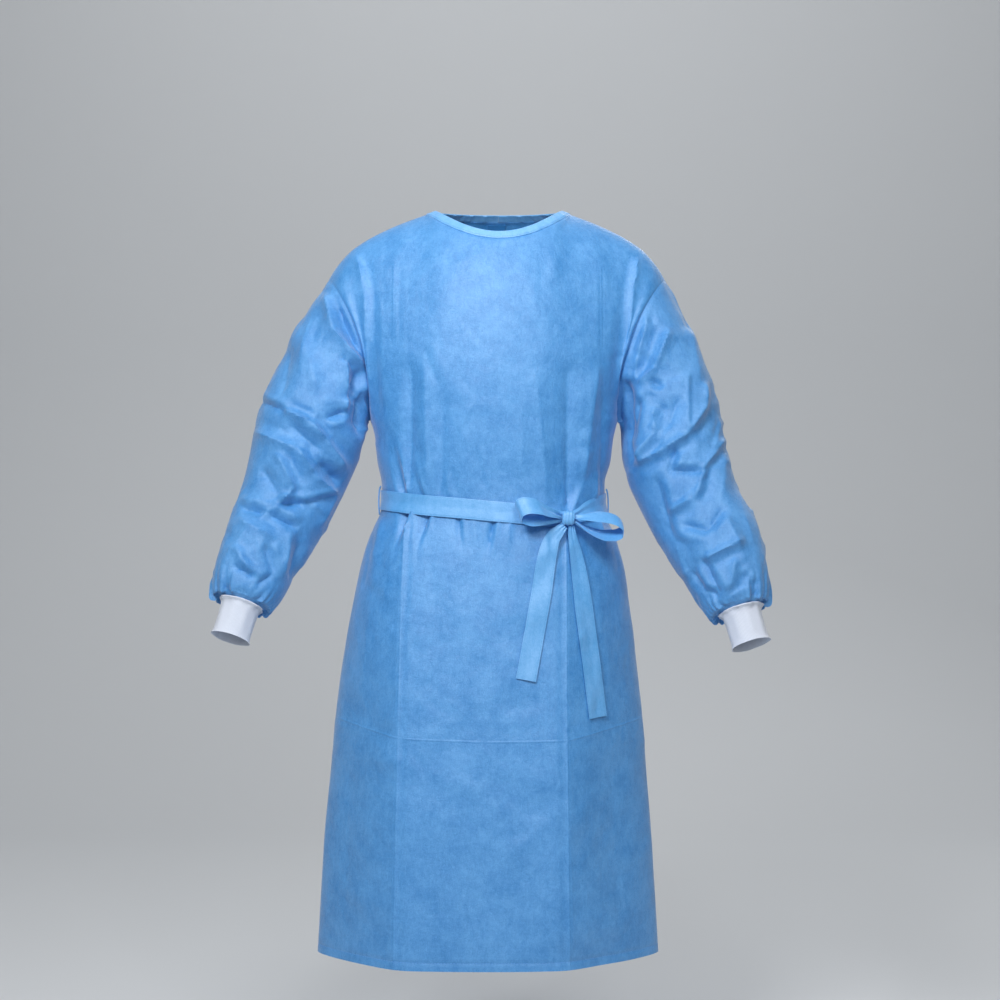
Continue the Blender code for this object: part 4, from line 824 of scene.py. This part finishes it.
KNIT = 0.0013
CUFF_RIBS = 96
CUFF = table("along radius", (
    (0.000, 0.0340), (0.0015, 0.0352), (0.004, 0.0322), (0.010, 0.0298), (0.022, 0.0287), (0.034, 0.0285),
    (0.046, 0.0286), (0.052, 0.0291), (0.056, 0.0301), (0.058, 0.0310),
))
CUFFS = {-1: (-0.3992, -0.108, -0.6222, 15.6, 20), 1: (0.3714, -0.108, -0.6317, 14.7, 20)}


def knit(name, colour):
    """Fine knit: ribs round the cuff as waves along the cloth's u, and rows of stitches along its v. The colour is
    also darker in each rib's hollow, which is painted shade.
    """
    m = Nodes(name)
    place = m.add("UVMap", uv_map="cloth").outputs[0]
    split = m.add("SeparateXYZ", Vector=place)
    ribs = m.add("Math", operation="SINE", _0=m.add("Math", operation="MULTIPLY", _0=split.outputs[0], _1=CUFF_RIBS * 2 * math.pi).outputs[0])
    rows = m.add("Math", operation="SINE", _0=m.add("Math", operation="MULTIPLY", _0=split.outputs[1], _1=2 * math.pi / 0.0011).outputs[0])
    fuzz = m.noise(900, 3)
    height = m.sum((ribs.outputs[0], 0.5), (rows.outputs[0], 0.22), (fuzz, 0.5))
    # colour: the knit's random fuzz, and the rib wave as painted shade, darker in each rib's hollow
    m.link(m.mix(m.sum((fuzz, 0.6), (ribs.outputs[0], 0.18)), tuple(c * 0.86 for c in colour), colour), "Base Color")
    m.link(m.add("Bump", Height=height, Strength=0.5, Distance=0.0006).outputs[0], "Normal")
    m.shader.inputs["Roughness"].default_value = 0.85
    m.shader.inputs["Sheen Weight"].default_value = 0.35
    return m.stuff


WHITE = knit("white_knit_shown", (0.70, 0.76, 0.88))
cuffs = {}
for side, word in ((-1, "left"), (1, "right")):
    x, y, z, lean, forward = CUFFS[side]
    lean, forward = math.radians(lean), math.radians(forward)
    across_axis = np.array((side * math.cos(lean), 0.0, math.sin(lean)))
    ahead = np.array((0.0, -math.cos(forward), math.sin(forward)))
    axis = unit(np.cross(across_axis, ahead)) * side
    angle = np.linspace(0, 2 * math.pi, 144, endpoint=False)[None, :]
    along = np.linspace(0, CUFF["along"][-1], 60)[:, None]
    wavy = (0.0004 * np.sin(3 * angle + side) + 0.0002 * np.sin(7 * angle + 1)) * smooth((along - 0.035) / 0.023)
    rim = (0.0016 * np.sin(4 * angle + 2 * side) + 0.0009 * np.sin(11 * angle)) * smooth((0.012 - along) / 0.012)
    pucker = 0.0005 * np.sin(9 * angle + 1) * np.sin(math.pi * along / 0.058)
    radius = (through(CUFF["along"], CUFF["radius"], along) + wavy + rim + pucker)[..., None]
    spoke = across_axis * np.cos(angle)[..., None] + ahead * np.sin(angle)[..., None]
    middle = np.array((x, y, z)) + axis * (along + 0.6 * wavy + 0.5 * rim)[..., None]
    place = np.stack(np.broadcast_arrays(angle / (2 * math.pi), along), axis=-1)
    piece = wall("cuff_" + word + "_shown", middle + spoke * radius, middle + spoke * (radius - KNIT), WHITE, wrap=True, uv=place)
    shown(piece, "white_knit", "cuff_" + word)
    cuffs[side] = (piece, middle + spoke * radius)


# ---- Neck binding and tab
# The binding is a strip of the cloth folded over the panels' raw neck edge, its ends meeting at the
# middle of the back. The tab is a darker closing strip on the inside of the back, below it.

BINDING_HALF_CLOTH = 0.0009
BINDING_NOTCH = 0.00005
BINDING_BLUE = nonwoven("binding_shown", (0.080, 0.350, 0.720), (0.160, 0.440, 0.820), 0.6)
TAB_BLUE = nonwoven("tab_shown", (0.003, 0.150, 0.440), (0.010, 0.200, 0.540), 0.6)
TAB_ACROSS, TAB_RISE = (0.481, 0.514), (0.800, 0.988)


def band_on_neck(shares, count):
    """Grid over the neck's rim, one row for each share of the binding's width, and its outward way.
    Each point is over its place on the widened oval seen from above, on the form's tangent plane."""
    known, ways = [], []
    for face in (FRONT, BACK):
        spread = to_ridge(face, *np.broadcast_arrays(np.linspace(0, 1, 201)[None, :], np.linspace(0.3, 1, 161)[:, None]))
        known.append(spread.reshape(-1, 3))
        ways.append((normals(spread) * (1 if face == FRONT else -1)).reshape(-1, 3))
    known, ways = np.concatenate(known), np.concatenate(ways)
    angle = np.linspace(0, 2 * math.pi, count)
    rows, out = [], []
    for share in shares:
        middle, half, reach = neck_oval(np.cos(angle) < 0, share)
        x, y = middle + half * np.sin(angle), SHOULDER_SEAM_Y + reach * np.cos(angle)
        near = np.argmin((known[None, :, 0] - x[:, None]) ** 2 + (known[None, :, 1] - y[:, None]) ** 2, axis=1)
        point, way = known[near], ways[near]
        z = point[:, 2] - (way[:, 0] * (x - point[:, 0]) + way[:, 1] * (y - point[:, 1])) / way[:, 2]
        rows.append(np.stack((x, y, z), axis=-1))
        out.append(way)
    return np.array(rows), np.array(out)


shares = np.linspace(1.04, 0.0, 13)
rim, rim_way = band_on_neck(shares, 221)
rim[:, 0] += unit(rim[:, 1] - rim[:, 0]) * BINDING_NOTCH
rim[:, -1] += unit(rim[:, -2] - rim[:, -1]) * BINDING_NOTCH
angle = np.linspace(0, 2 * math.pi, rim.shape[1])
puff = (1 - np.clip(2 * (1 - shares) - 1, -1, 1) ** 8) ** 0.5
pull = 0.0004 * np.sin(23 * angle) + 0.0003 * np.sin(57 * angle + 1)
half_thick = (BINDING_HALF_CLOTH * (0.25 + 0.75 * puff))[:, None] + pull[None, :] * puff[:, None]
length = np.concatenate(([0], np.cumsum(np.linalg.norm(np.diff(rim[-1], axis=0), axis=-1))))
place = np.stack(np.broadcast_arrays(length[None, :], shares[:, None] * 0.015), axis=-1)
outer = rim + rim_way * half_thick[..., None]
binding = wall("neck_binding_shown", outer, rim - rim_way * (half_thick + CLOTH)[..., None], BINDING_BLUE, uv=place)
shown(binding, "blue_tie", "neck_binding")

across = np.linspace(*TAB_ACROSS, 9)
rises = np.linspace(*TAB_RISE, 24) * neck_cut(BACK, np.array((0.5,)))[0]
tab_grid = to_ridge(BACK, *np.broadcast_arrays(across[None, :], rises[:, None]))
tab_way = -normals(tab_grid)
under = tab_grid - tab_way * (CLOTH + 0.0014)
tab = wall("neck_tab_shown", under, under - tab_way * 0.0008, TAB_BLUE)
shown(tab, "tab_blue", "neck_tab")


# ---- Belt and bow
# One flat strip of folded cloth round the waist, tied in a bow to the right of the middle. It passes
# through a thread loop at each side seam, and its two free ends hang on the skirt.

BELT_WIDTH, BELT_AT_KNOT = 0.031, 0.019
BELT_CLEAR, BELT_CLOTH, RIBBON = 0.0010, 0.0011, 0.0009
BELT_FRONT = table("x height", (
    (-0.187, -0.462), (-0.146, -0.467), (-0.106, -0.4712), (-0.068, -0.4742), (-0.023, -0.4784),
    (0.017, -0.4820), (0.104, -0.4895), (0.135, -0.4790), (0.166, -0.4670),
))
BELT_BACK_HEIGHT = -0.4640
KNOT = np.array((0.1049, -0.1228, -0.4900))
KNOT_HALF = np.array((0.0098, 0.0075, 0.0112))
BOW_LOOPS = {
    "bow_loop_left": (table("x y z width", (
        (0.0925, -0.1190, -0.4868, 0.012), (0.0830, -0.1320, -0.4830, 0.017), (0.0709, -0.1450, -0.4784, 0.024),
        (0.0577, -0.1560, -0.4725, 0.030), (0.0424, -0.1610, -0.4706, 0.031), (0.0300, -0.1590, -0.4750, 0.031),
        (0.0278, -0.1540, -0.4825, 0.031), (0.0350, -0.1490, -0.4880, 0.031), (0.0480, -0.1440, -0.4905, 0.030),
        (0.0640, -0.1385, -0.4905, 0.025), (0.0800, -0.1290, -0.4908, 0.018), (0.0922, -0.1180, -0.4912, 0.012),
    )), (0.33, -0.50, -0.80)),
    "bow_loop_right": (table("x y z width", (
        (0.1152, -0.1215, -0.4885, 0.012), (0.1272, -0.1240, -0.4880, 0.019), (0.1400, -0.1280, -0.4878, 0.026),
        (0.1520, -0.1300, -0.4880, 0.030), (0.1656, -0.1310, -0.4897, 0.031), (0.1786, -0.1310, -0.4938, 0.031),
        (0.1880, -0.1290, -0.5030, 0.031), (0.1870, -0.1270, -0.5110, 0.031), (0.1760, -0.1250, -0.5165, 0.031),
        (0.1620, -0.1235, -0.5170, 0.030), (0.1487, -0.1230, -0.5138, 0.026), (0.1314, -0.1220, -0.5061, 0.018),
        (0.1156, -0.1215, -0.4950, 0.012),
    )), (0.06, -0.83, -0.55)),
}
TAILS = {
    "tie_tail_left": table("x z width off", (
        (0.0990, -0.5018, 0.011, 0.013), (0.0905, -0.5100, 0.018, 0.010), (0.0800, -0.5230, 0.024, 0.006),
        (0.0740, -0.5400, 0.028, 0.004), (0.0690, -0.5650, 0.030, 0.002), (0.0640, -0.6000, 0.031, 0.001),
        (0.0560, -0.6450, 0.031, 0.001), (0.0470, -0.6950, 0.031, 0.001), (0.0392, -0.7360, 0.031, 0.001),
    )),
    "tie_tail_right": table("x z width off", (
        (0.1100, -0.5020, 0.009, 0.013), (0.1105, -0.5120, 0.012, 0.011), (0.1130, -0.5260, 0.015, 0.007),
        (0.1175, -0.5480, 0.020, 0.004), (0.1235, -0.5850, 0.025, 0.002), (0.1300, -0.6350, 0.028, 0.001),
        (0.1375, -0.6900, 0.028, 0.001), (0.1440, -0.7400, 0.028, 0.001), (0.1510, -0.7970, 0.028, 0.001),
    )),
}
TIE_BLUE = nonwoven("tie_shown", (0.050, 0.310, 0.680), (0.130, 0.410, 0.800), 0.7, stitched_at=BELT_WIDTH)


def belt_middle(face, x):
    """Height of the belt's middle: the front's from its table, the back's rising to meet it."""
    if face == FRONT:
        return through(BELT_FRONT["x"], BELT_FRONT["height"], x)
    ends = BELT_FRONT["height"][[0, -1]]
    return through((BELT_FRONT["x"][0], 0.0, BELT_FRONT["x"][-1]), (ends[0], BELT_BACK_HEIGHT, ends[1]), x)


def bordered(shares, thick):
    """Half thickness of a folded strip across its width: full, thinner along two stitched lines near
    the edges, and rounded off at the edges, where the shares are 0 and 1."""
    edge = np.minimum(shares, 1 - shares)
    return thick / 2 * (smooth(edge / 0.05 + 0.25) - 0.35 * np.exp(-((edge - 0.09) / 0.02) ** 2))


turns, ways = [], []
shares = np.linspace(0, 1, 15)
for face in (FRONT, BACK):
    across = np.linspace(0, 1, 181)
    waist = section(face, across, np.full(across.shape, BELT_FRONT["height"].mean()))
    middle = belt_middle(face, waist[:, 0])
    from_knot = abs(waist[:, 0] - KNOT[0]) if face == FRONT else np.full(across.shape, 1.0)
    width = BELT_AT_KNOT + (BELT_WIDTH - BELT_AT_KNOT) * smooth((from_knot - 0.006) / 0.030)
    height = middle[None, :] + (shares[:, None] - 0.5) * width[None, :]
    rows = section(face, np.broadcast_to(across, height.shape), height)
    flat = waist - np.roll(waist, 1, axis=0)
    flat = np.gradient(waist, axis=0)
    flat = unit(np.stack((flat[:, 1], -flat[:, 0], 0 * across), axis=-1)) * (1 if face == FRONT else -1)
    near = np.exp(-(from_knot / 0.030) ** 2)[None, :]
    pleats = near * 0.0011 * np.cos(5 * math.pi * shares)[:, None]
    ripple = 0.0007 * np.sin(41 * across + face)[None, :] * np.cos(math.pi * shares)[:, None]
    stand = BELT_CLEAR + BELT_CLOTH / 2 + 0.0009 + pleats + abs(ripple)
    if face == BACK:
        past = 0.5 + BACK_OVERLAP
        stand = stand + (back_layer(across) * smooth((past + 0.12 - across) / 0.10))[None, :]
    turns.append(rows + flat * stand[..., None])
    ways.append(np.broadcast_to(flat, rows.shape))
rows = np.concatenate((turns[0], turns[1][:, -2:0:-1]), axis=1)
way = np.concatenate((ways[0], ways[1][:, -2:0:-1]), axis=1)
half = bordered(shares, BELT_CLOTH)[:, None, None]
length = np.concatenate(([0], np.cumsum(np.linalg.norm(np.diff(rows[7], axis=0), axis=-1))))
place = np.stack(np.broadcast_arrays(length[None, :], shares[:, None] * BELT_WIDTH), axis=-1)
belt = wall("belt_shown", rows + way * half, rows - way * half, TIE_BLUE, wrap=True, uv=place)
shown(belt, "blue_tie", "belt")
belt_rows = rows
BELT_SPANS = 180


def ribbon(name, middles, sideways, widths, folds):
    """Strip of folded cloth along its middle points: each row is middle + sideways width (s - 1/2),
    bent out of flat by folds, which gives metres for each row and share s across."""
    shares = np.linspace(0, 1, 13)
    run = np.gradient(middles, axis=0)
    across_way = unit(np.broadcast_to(sideways, middles.shape))
    way = unit(np.cross(run, across_way))
    rows = middles[:, None] + across_way[:, None] * (widths[:, None] * (shares - 0.5))[..., None]
    rows = rows + way[:, None] * folds(np.linspace(0, 1, len(middles))[:, None], shares[None, :])[..., None]
    way = normals(rows)
    half = bordered(shares, RIBBON)[None, :, None]
    length = np.concatenate(([0], np.cumsum(np.linalg.norm(np.diff(middles, axis=0), axis=-1))))
    place = np.stack(np.broadcast_arrays(length[:, None], shares * BELT_WIDTH), axis=-1)
    return wall(name, rows + way * half, rows - way * half, TIE_BLUE, uv=place)


def loop_folds(run, share):
    """Gathers of a bow loop: pleats that are deepest at its two ends, by the knot, and a soft cup."""
    near = np.exp(-np.minimum(run, 1 - run) / 0.11)
    return (0.0022 * near * np.cos(3 * math.pi * share + 2 * run) + 0.0012 * np.cos(2 * math.pi * share) * near
            - 0.0010 * np.sin(math.pi * share) * (1 - near))


for name, (row, sideways) in BOW_LOOPS.items():
    at = np.linspace(0, len(row["x"]) - 1, 90)
    values = through(np.arange(len(row["x"])), np.stack([row[c] for c in ("x", "y", "z", "width")], axis=-1), at)
    piece = ribbon(name + "_shown", values[:, :3], sideways, values[:, 3], loop_folds)
    shown(piece, "blue_tie", name)

# the knot: one turn of the strip, pleated, drawn tight over the crossing from top to bottom
share, turn = np.meshgrid(np.linspace(-1, 1, 33), np.linspace(0, 2 * math.pi, 72, endpoint=False), indexing="ij")
barrel = 1 - 0.20 * abs(share) ** 3 + 0.05 * np.cos(3.2 * math.pi * share + 0.5 * np.sin(turn) + 0.6)
barrel = barrel + 0.025 * np.cos(7.3 * math.pi * share + np.cos(turn))
square = (abs(np.cos(turn)) ** 2.6 + abs(np.sin(turn)) ** 2.6) ** (-1 / 2.6)
ball = np.stack((share * (1 - 0.10 * np.cos(turn) ** 2) + 0.07 * np.sin(turn),
                 barrel * square * np.cos(turn), barrel * square * np.sin(turn)), axis=-1)
outer = KNOT + ball * KNOT_HALF
knot = wall("bow_knot_shown", outer, KNOT + ball * (KNOT_HALF - (0.0, 0.0012, 0.0012)), TIE_BLUE, wrap=True)
shown(knot, "blue_tie", "bow_knot")


def front_y(x, z):
    """Depth of the shown front at x and z, from its own grid."""
    low = np.clip(np.searchsorted(HEIGHTS, z) - 1, 0, len(HEIGHTS) - 2)
    share = (z - HEIGHTS[low]) / (HEIGHTS[low + 1] - HEIGHTS[low])
    grid = front_grid
    return np.array([np.interp(a, grid[i, :, 0], grid[i, :, 1]) * (1 - s) + np.interp(a, grid[i + 1, :, 0], grid[i + 1, :, 1]) * s
                     for a, i, s in zip(x.ravel(), low.ravel(), share.ravel())]).reshape(x.shape)


for name, row in TAILS.items():
    at = np.linspace(0, len(row["x"]) - 1, 110)
    values = through(np.arange(len(row["x"])), np.stack([row[c] for c in ("x", "z", "width", "off")], axis=-1), at)
    run = np.gradient(values[:, :2], axis=0)
    sideways = unit(np.stack((-run[:, 1], run[:, 0]), axis=-1))
    shares = np.linspace(0, 1, 13)
    edge = values[:, None, :2] + sideways[:, None] * (values[:, 2:3] * (shares - 0.5))[..., None]
    down = np.linspace(0, 1, len(at))[:, None]
    wave = 0.0012 * np.sin(9 * down + 2 * shares + len(name)) ** 2 * smooth(down / 0.3)
    gather = 0.0020 * np.exp(-down / 0.10) * np.cos(3 * math.pi * shares)
    y = front_y(edge[..., 0], edge[..., 1])
    y = np.minimum(y, y.mean(axis=1, keepdims=True) * 0.35 + y * 0.65) - values[:, 3:4] - 0.0012 - wave - abs(gather)
    rows = np.stack((edge[..., 0], y, edge[..., 1]), axis=-1)
    way = normals(rows)
    half = bordered(shares, RIBBON)[None, :, None]
    place = np.stack(np.broadcast_arrays(down * 0.3, shares * BELT_WIDTH), axis=-1)
    piece = wall(name + "_shown", rows + way * half, rows - way * half, TIE_BLUE, uv=place)
    shown(piece, "blue_tie", name)


# ---- Sewing
# Threads of the seams: a chain loop for the belt at each side seam, overlocking round each cuff's rim,
# and rows of straight stitches along the neck binding and the front's hem.

THREAD_LOOP = ((0.0026, 0.0215), (0.0056, 0.0170), (0.0074, 0.0080), (0.0080, 0.0), (0.0080, -0.0080),
               (0.0070, -0.0170), (0.0062, -0.0230))
THREAD_RADIUS = 0.0008


def thread_stuff(name, colour):
    """Plain sewing thread, matt."""
    m = Nodes(name)
    m.link(m.mix(m.noise(700, 2), tuple(0.85 * c for c in colour), colour), "Base Color")
    m.shader.inputs["Roughness"].default_value = 0.7
    return m.stuff


BLUE_THREAD = thread_stuff("blue_thread", (0.16, 0.42, 0.83))
WHITE_THREAD = thread_stuff("white_thread", (0.72, 0.78, 0.88))


def tube(middles, radius, spokes=6):
    """Points and faces of one round rod along its middles, closed at both ends."""
    run = unit(np.gradient(middles, axis=0))
    side = unit(np.cross(run, np.where(abs(run[:, 2:3]) > 0.9, (1.0, 0.0, 0.0), (0.0, 0.0, 1.0))))
    other = np.cross(run, side)
    angle = np.arange(spokes) * 2 * math.pi / spokes
    points = middles[:, None] + radius * (side[:, None] * np.cos(angle)[None, :, None] + other[:, None] * np.sin(angle)[None, :, None])
    faces = []
    for r in range(len(middles) - 1):
        for c in range(spokes):
            n = (c + 1) % spokes
            faces.append((r * spokes + c, r * spokes + n, (r + 1) * spokes + n, (r + 1) * spokes + c))
    faces.append(tuple(reversed(range(spokes))))
    faces.append(tuple((len(middles) - 1) * spokes + c for c in range(spokes)))
    return points.reshape(-1, 3), faces


def rods(name, lines, radius, stuff, spokes=5):
    """One mesh of many short rods."""
    points, faces, start = [], [], 0
    for line in lines:
        p, f = tube(np.asarray(line), radius, spokes)
        points.append(p)
        faces += [tuple(i + start for i in face) for face in f]
        start += len(p)
    mesh = bpy.data.meshes.new(name)
    mesh.from_pydata(np.concatenate(points).tolist(), [], faces)
    mesh.shade_smooth()
    mesh.materials.append(stuff)
    piece = bpy.data.objects.new(name, mesh)
    bpy.context.scene.collection.objects.link(piece)
    return piece


def stitched(line, way, length, gap, off):
    """Straight stitches along a line of points, each laid off the cloth along way."""
    run = np.concatenate(([0], np.cumsum(np.linalg.norm(np.diff(line, axis=0), axis=-1))))
    found = []
    for start in np.arange(gap, run[-1] - length, length + gap):
        at = np.array((start, start + length / 2, start + length))
        points = np.stack([np.interp(at, run, line[:, i]) for i in range(3)], axis=-1)
        out = np.stack([np.interp(at, run, way[:, i]) for i in range(3)], axis=-1)
        found.append(points + out * np.array((0.0, off, 0.0))[:, None])
    return found


lines = []
for word, side in (("left", -1), ("right", 1)):
    seam = belt_rows[7, 0] if side < 0 else belt_rows[7, 180]
    middles = np.array([seam + (side * out * 0.55, 0.0, up) for out, up in THREAD_LOOP])
    middles = through(np.arange(len(middles)), middles, np.linspace(0, len(middles) - 1, 40))
    strands = []
    for phase in (0.0, 2.1, 4.2):
        wind = np.linspace(0, 30, len(middles)) + phase
        strands.append(middles + 0.0007 * np.stack((0 * wind, np.cos(wind), np.sin(wind)), axis=-1))
    piece = rods("belt_loop_" + word + "_shown", strands, 0.0012, BLUE_THREAD, 6)
    shown(piece, "blue_nonwoven", "belt_loop_" + word)

row = len(HEIGHTS) - 1
hem_row = 3
for grid, way in ((front_grid, front_way),):
    lines += stitched(grid[hem_row], way[hem_row], 0.0034, 0.0014, 0.0005)
piece = rods("hem_stitches", lines, 0.00035, BLUE_THREAD)
shown(piece, "blue_nonwoven")

lines = stitched(outer_line := (rim + rim_way * (half_thick + 0.0001)[..., None])[2], rim_way[2], 0.0026, 0.0014, 0.0004) \
    if half_thick.shape[0] == len(rim) else []
if lines:
    piece = rods("binding_stitches", lines, 0.0002, BLUE_THREAD)
    shown(piece, "blue_tie")

for side, word in ((-1, "left"), (1, "right")):
    edge = cuffs[side][1]
    first, under = edge[0], edge[5]
    count = 64
    places = np.linspace(0, len(first), count, endpoint=False)
    lines = []
    for i, start in enumerate(places):
        a, b = int(start) % len(first), int(start + 1.5) % len(first)
        out = unit(edge[3][a] - edge[3].mean(axis=0)) * 0.0006
        lines.append(np.array((first[a] + out * 0.5, (first[a] + under[a]) / 2 + out * 1.8, under[b] + out * 0.8)))
    piece = rods("cuff_" + word + "_overlock", lines, 0.00035, WHITE_THREAD)
    shown(piece, "white_knit")


# ---- Room, light and camera
# A plain pale sweep behind and below, soft light from high in front, and the camera level with the
# waist, straight in front.

FLOOR, WALL, BEND = -1.45, 4.20, 1.6
arc = np.linspace(0, math.pi / 2, 24)
profile = np.concatenate((((-6.0, FLOOR),), np.stack((WALL - BEND + BEND * np.sin(arc), FLOOR + BEND - BEND * np.cos(arc)), 1), ((WALL, 4.0),)))
points = [(x, y, z) for x in (-6.0, 6.0) for y, z in profile]
count = len(profile)
mesh = bpy.data.meshes.new("sweep")
mesh.from_pydata(points, [], [(i, i + 1, count + i + 1, count + i) for i in range(count - 1)])
mesh.shade_smooth()
sweep = bpy.data.objects.new("sweep", mesh)
bpy.context.scene.collection.objects.link(sweep)
pale = bpy.data.materials.new("pale_sweep")
pale.use_nodes = True
pale.node_tree.nodes["Principled BSDF"].inputs["Base Color"].default_value = (0.66, 0.68, 0.70, 1)
pale.node_tree.nodes["Principled BSDF"].inputs["Roughness"].default_value = 0.9
mesh.materials.append(pale)

world = bpy.data.worlds.new("soft_room")
bpy.context.scene.world = world
world.use_nodes = True
world.node_tree.nodes["Background"].inputs["Color"].default_value = (0.93, 0.96, 1.0, 1)
world.node_tree.nodes["Background"].inputs["Strength"].default_value = 0.20


def soft_light(name, place, aim, size, power, colour=(1, 1, 1)):
    """Square area light at a place, turned to its aim."""
    light = bpy.data.lights.new(name, "AREA")
    light.shape, light.size, light.energy, light.color = "SQUARE", size, power, colour
    lamp = bpy.data.objects.new(name, light)
    away = np.array(place, float) - np.array(aim, float)
    lamp.location = place
    flat = math.hypot(away[0], away[1])
    lamp.rotation_euler = (math.atan2(flat, away[2]), 0, math.atan2(away[1], away[0]) + math.pi / 2)
    bpy.context.scene.collection.objects.link(lamp)
    return lamp


soft_light("key", (-0.75, -2.0, 1.05), (0, 0, -0.25), 0.6, 46)
soft_light("top", (0.4, -1.2, 2.2), (0, 0, -0.2), 0.9, 12)
soft_light("front", (0.55, -2.4, 0.75), (0, 0, -0.2), 0.8, 25)
soft_light("back", (1.2, 2.6, 1.3), (0, 0, -0.5), 1.2, 18)
soft_light("backdrop", (0.0, 1.2, 3.4), (0, 4.2, 0.0), 2.0, 60)

camera = bpy.data.objects.new("camera", bpy.data.cameras.new("camera"))
camera.location = (0, -VIEW_DISTANCE, VIEW_HEIGHT)
camera.rotation_euler = (math.pi / 2, 0, 0)
camera.data.sensor_width = 36.0
camera.data.lens = 36.0 * VIEW_SCALE / 1000
camera.data.clip_start, camera.data.clip_end = 0.05, 40
bpy.context.scene.collection.objects.link(camera)
bpy.context.scene.camera = camera
bpy.context.scene.view_settings.view_transform = "Standard"
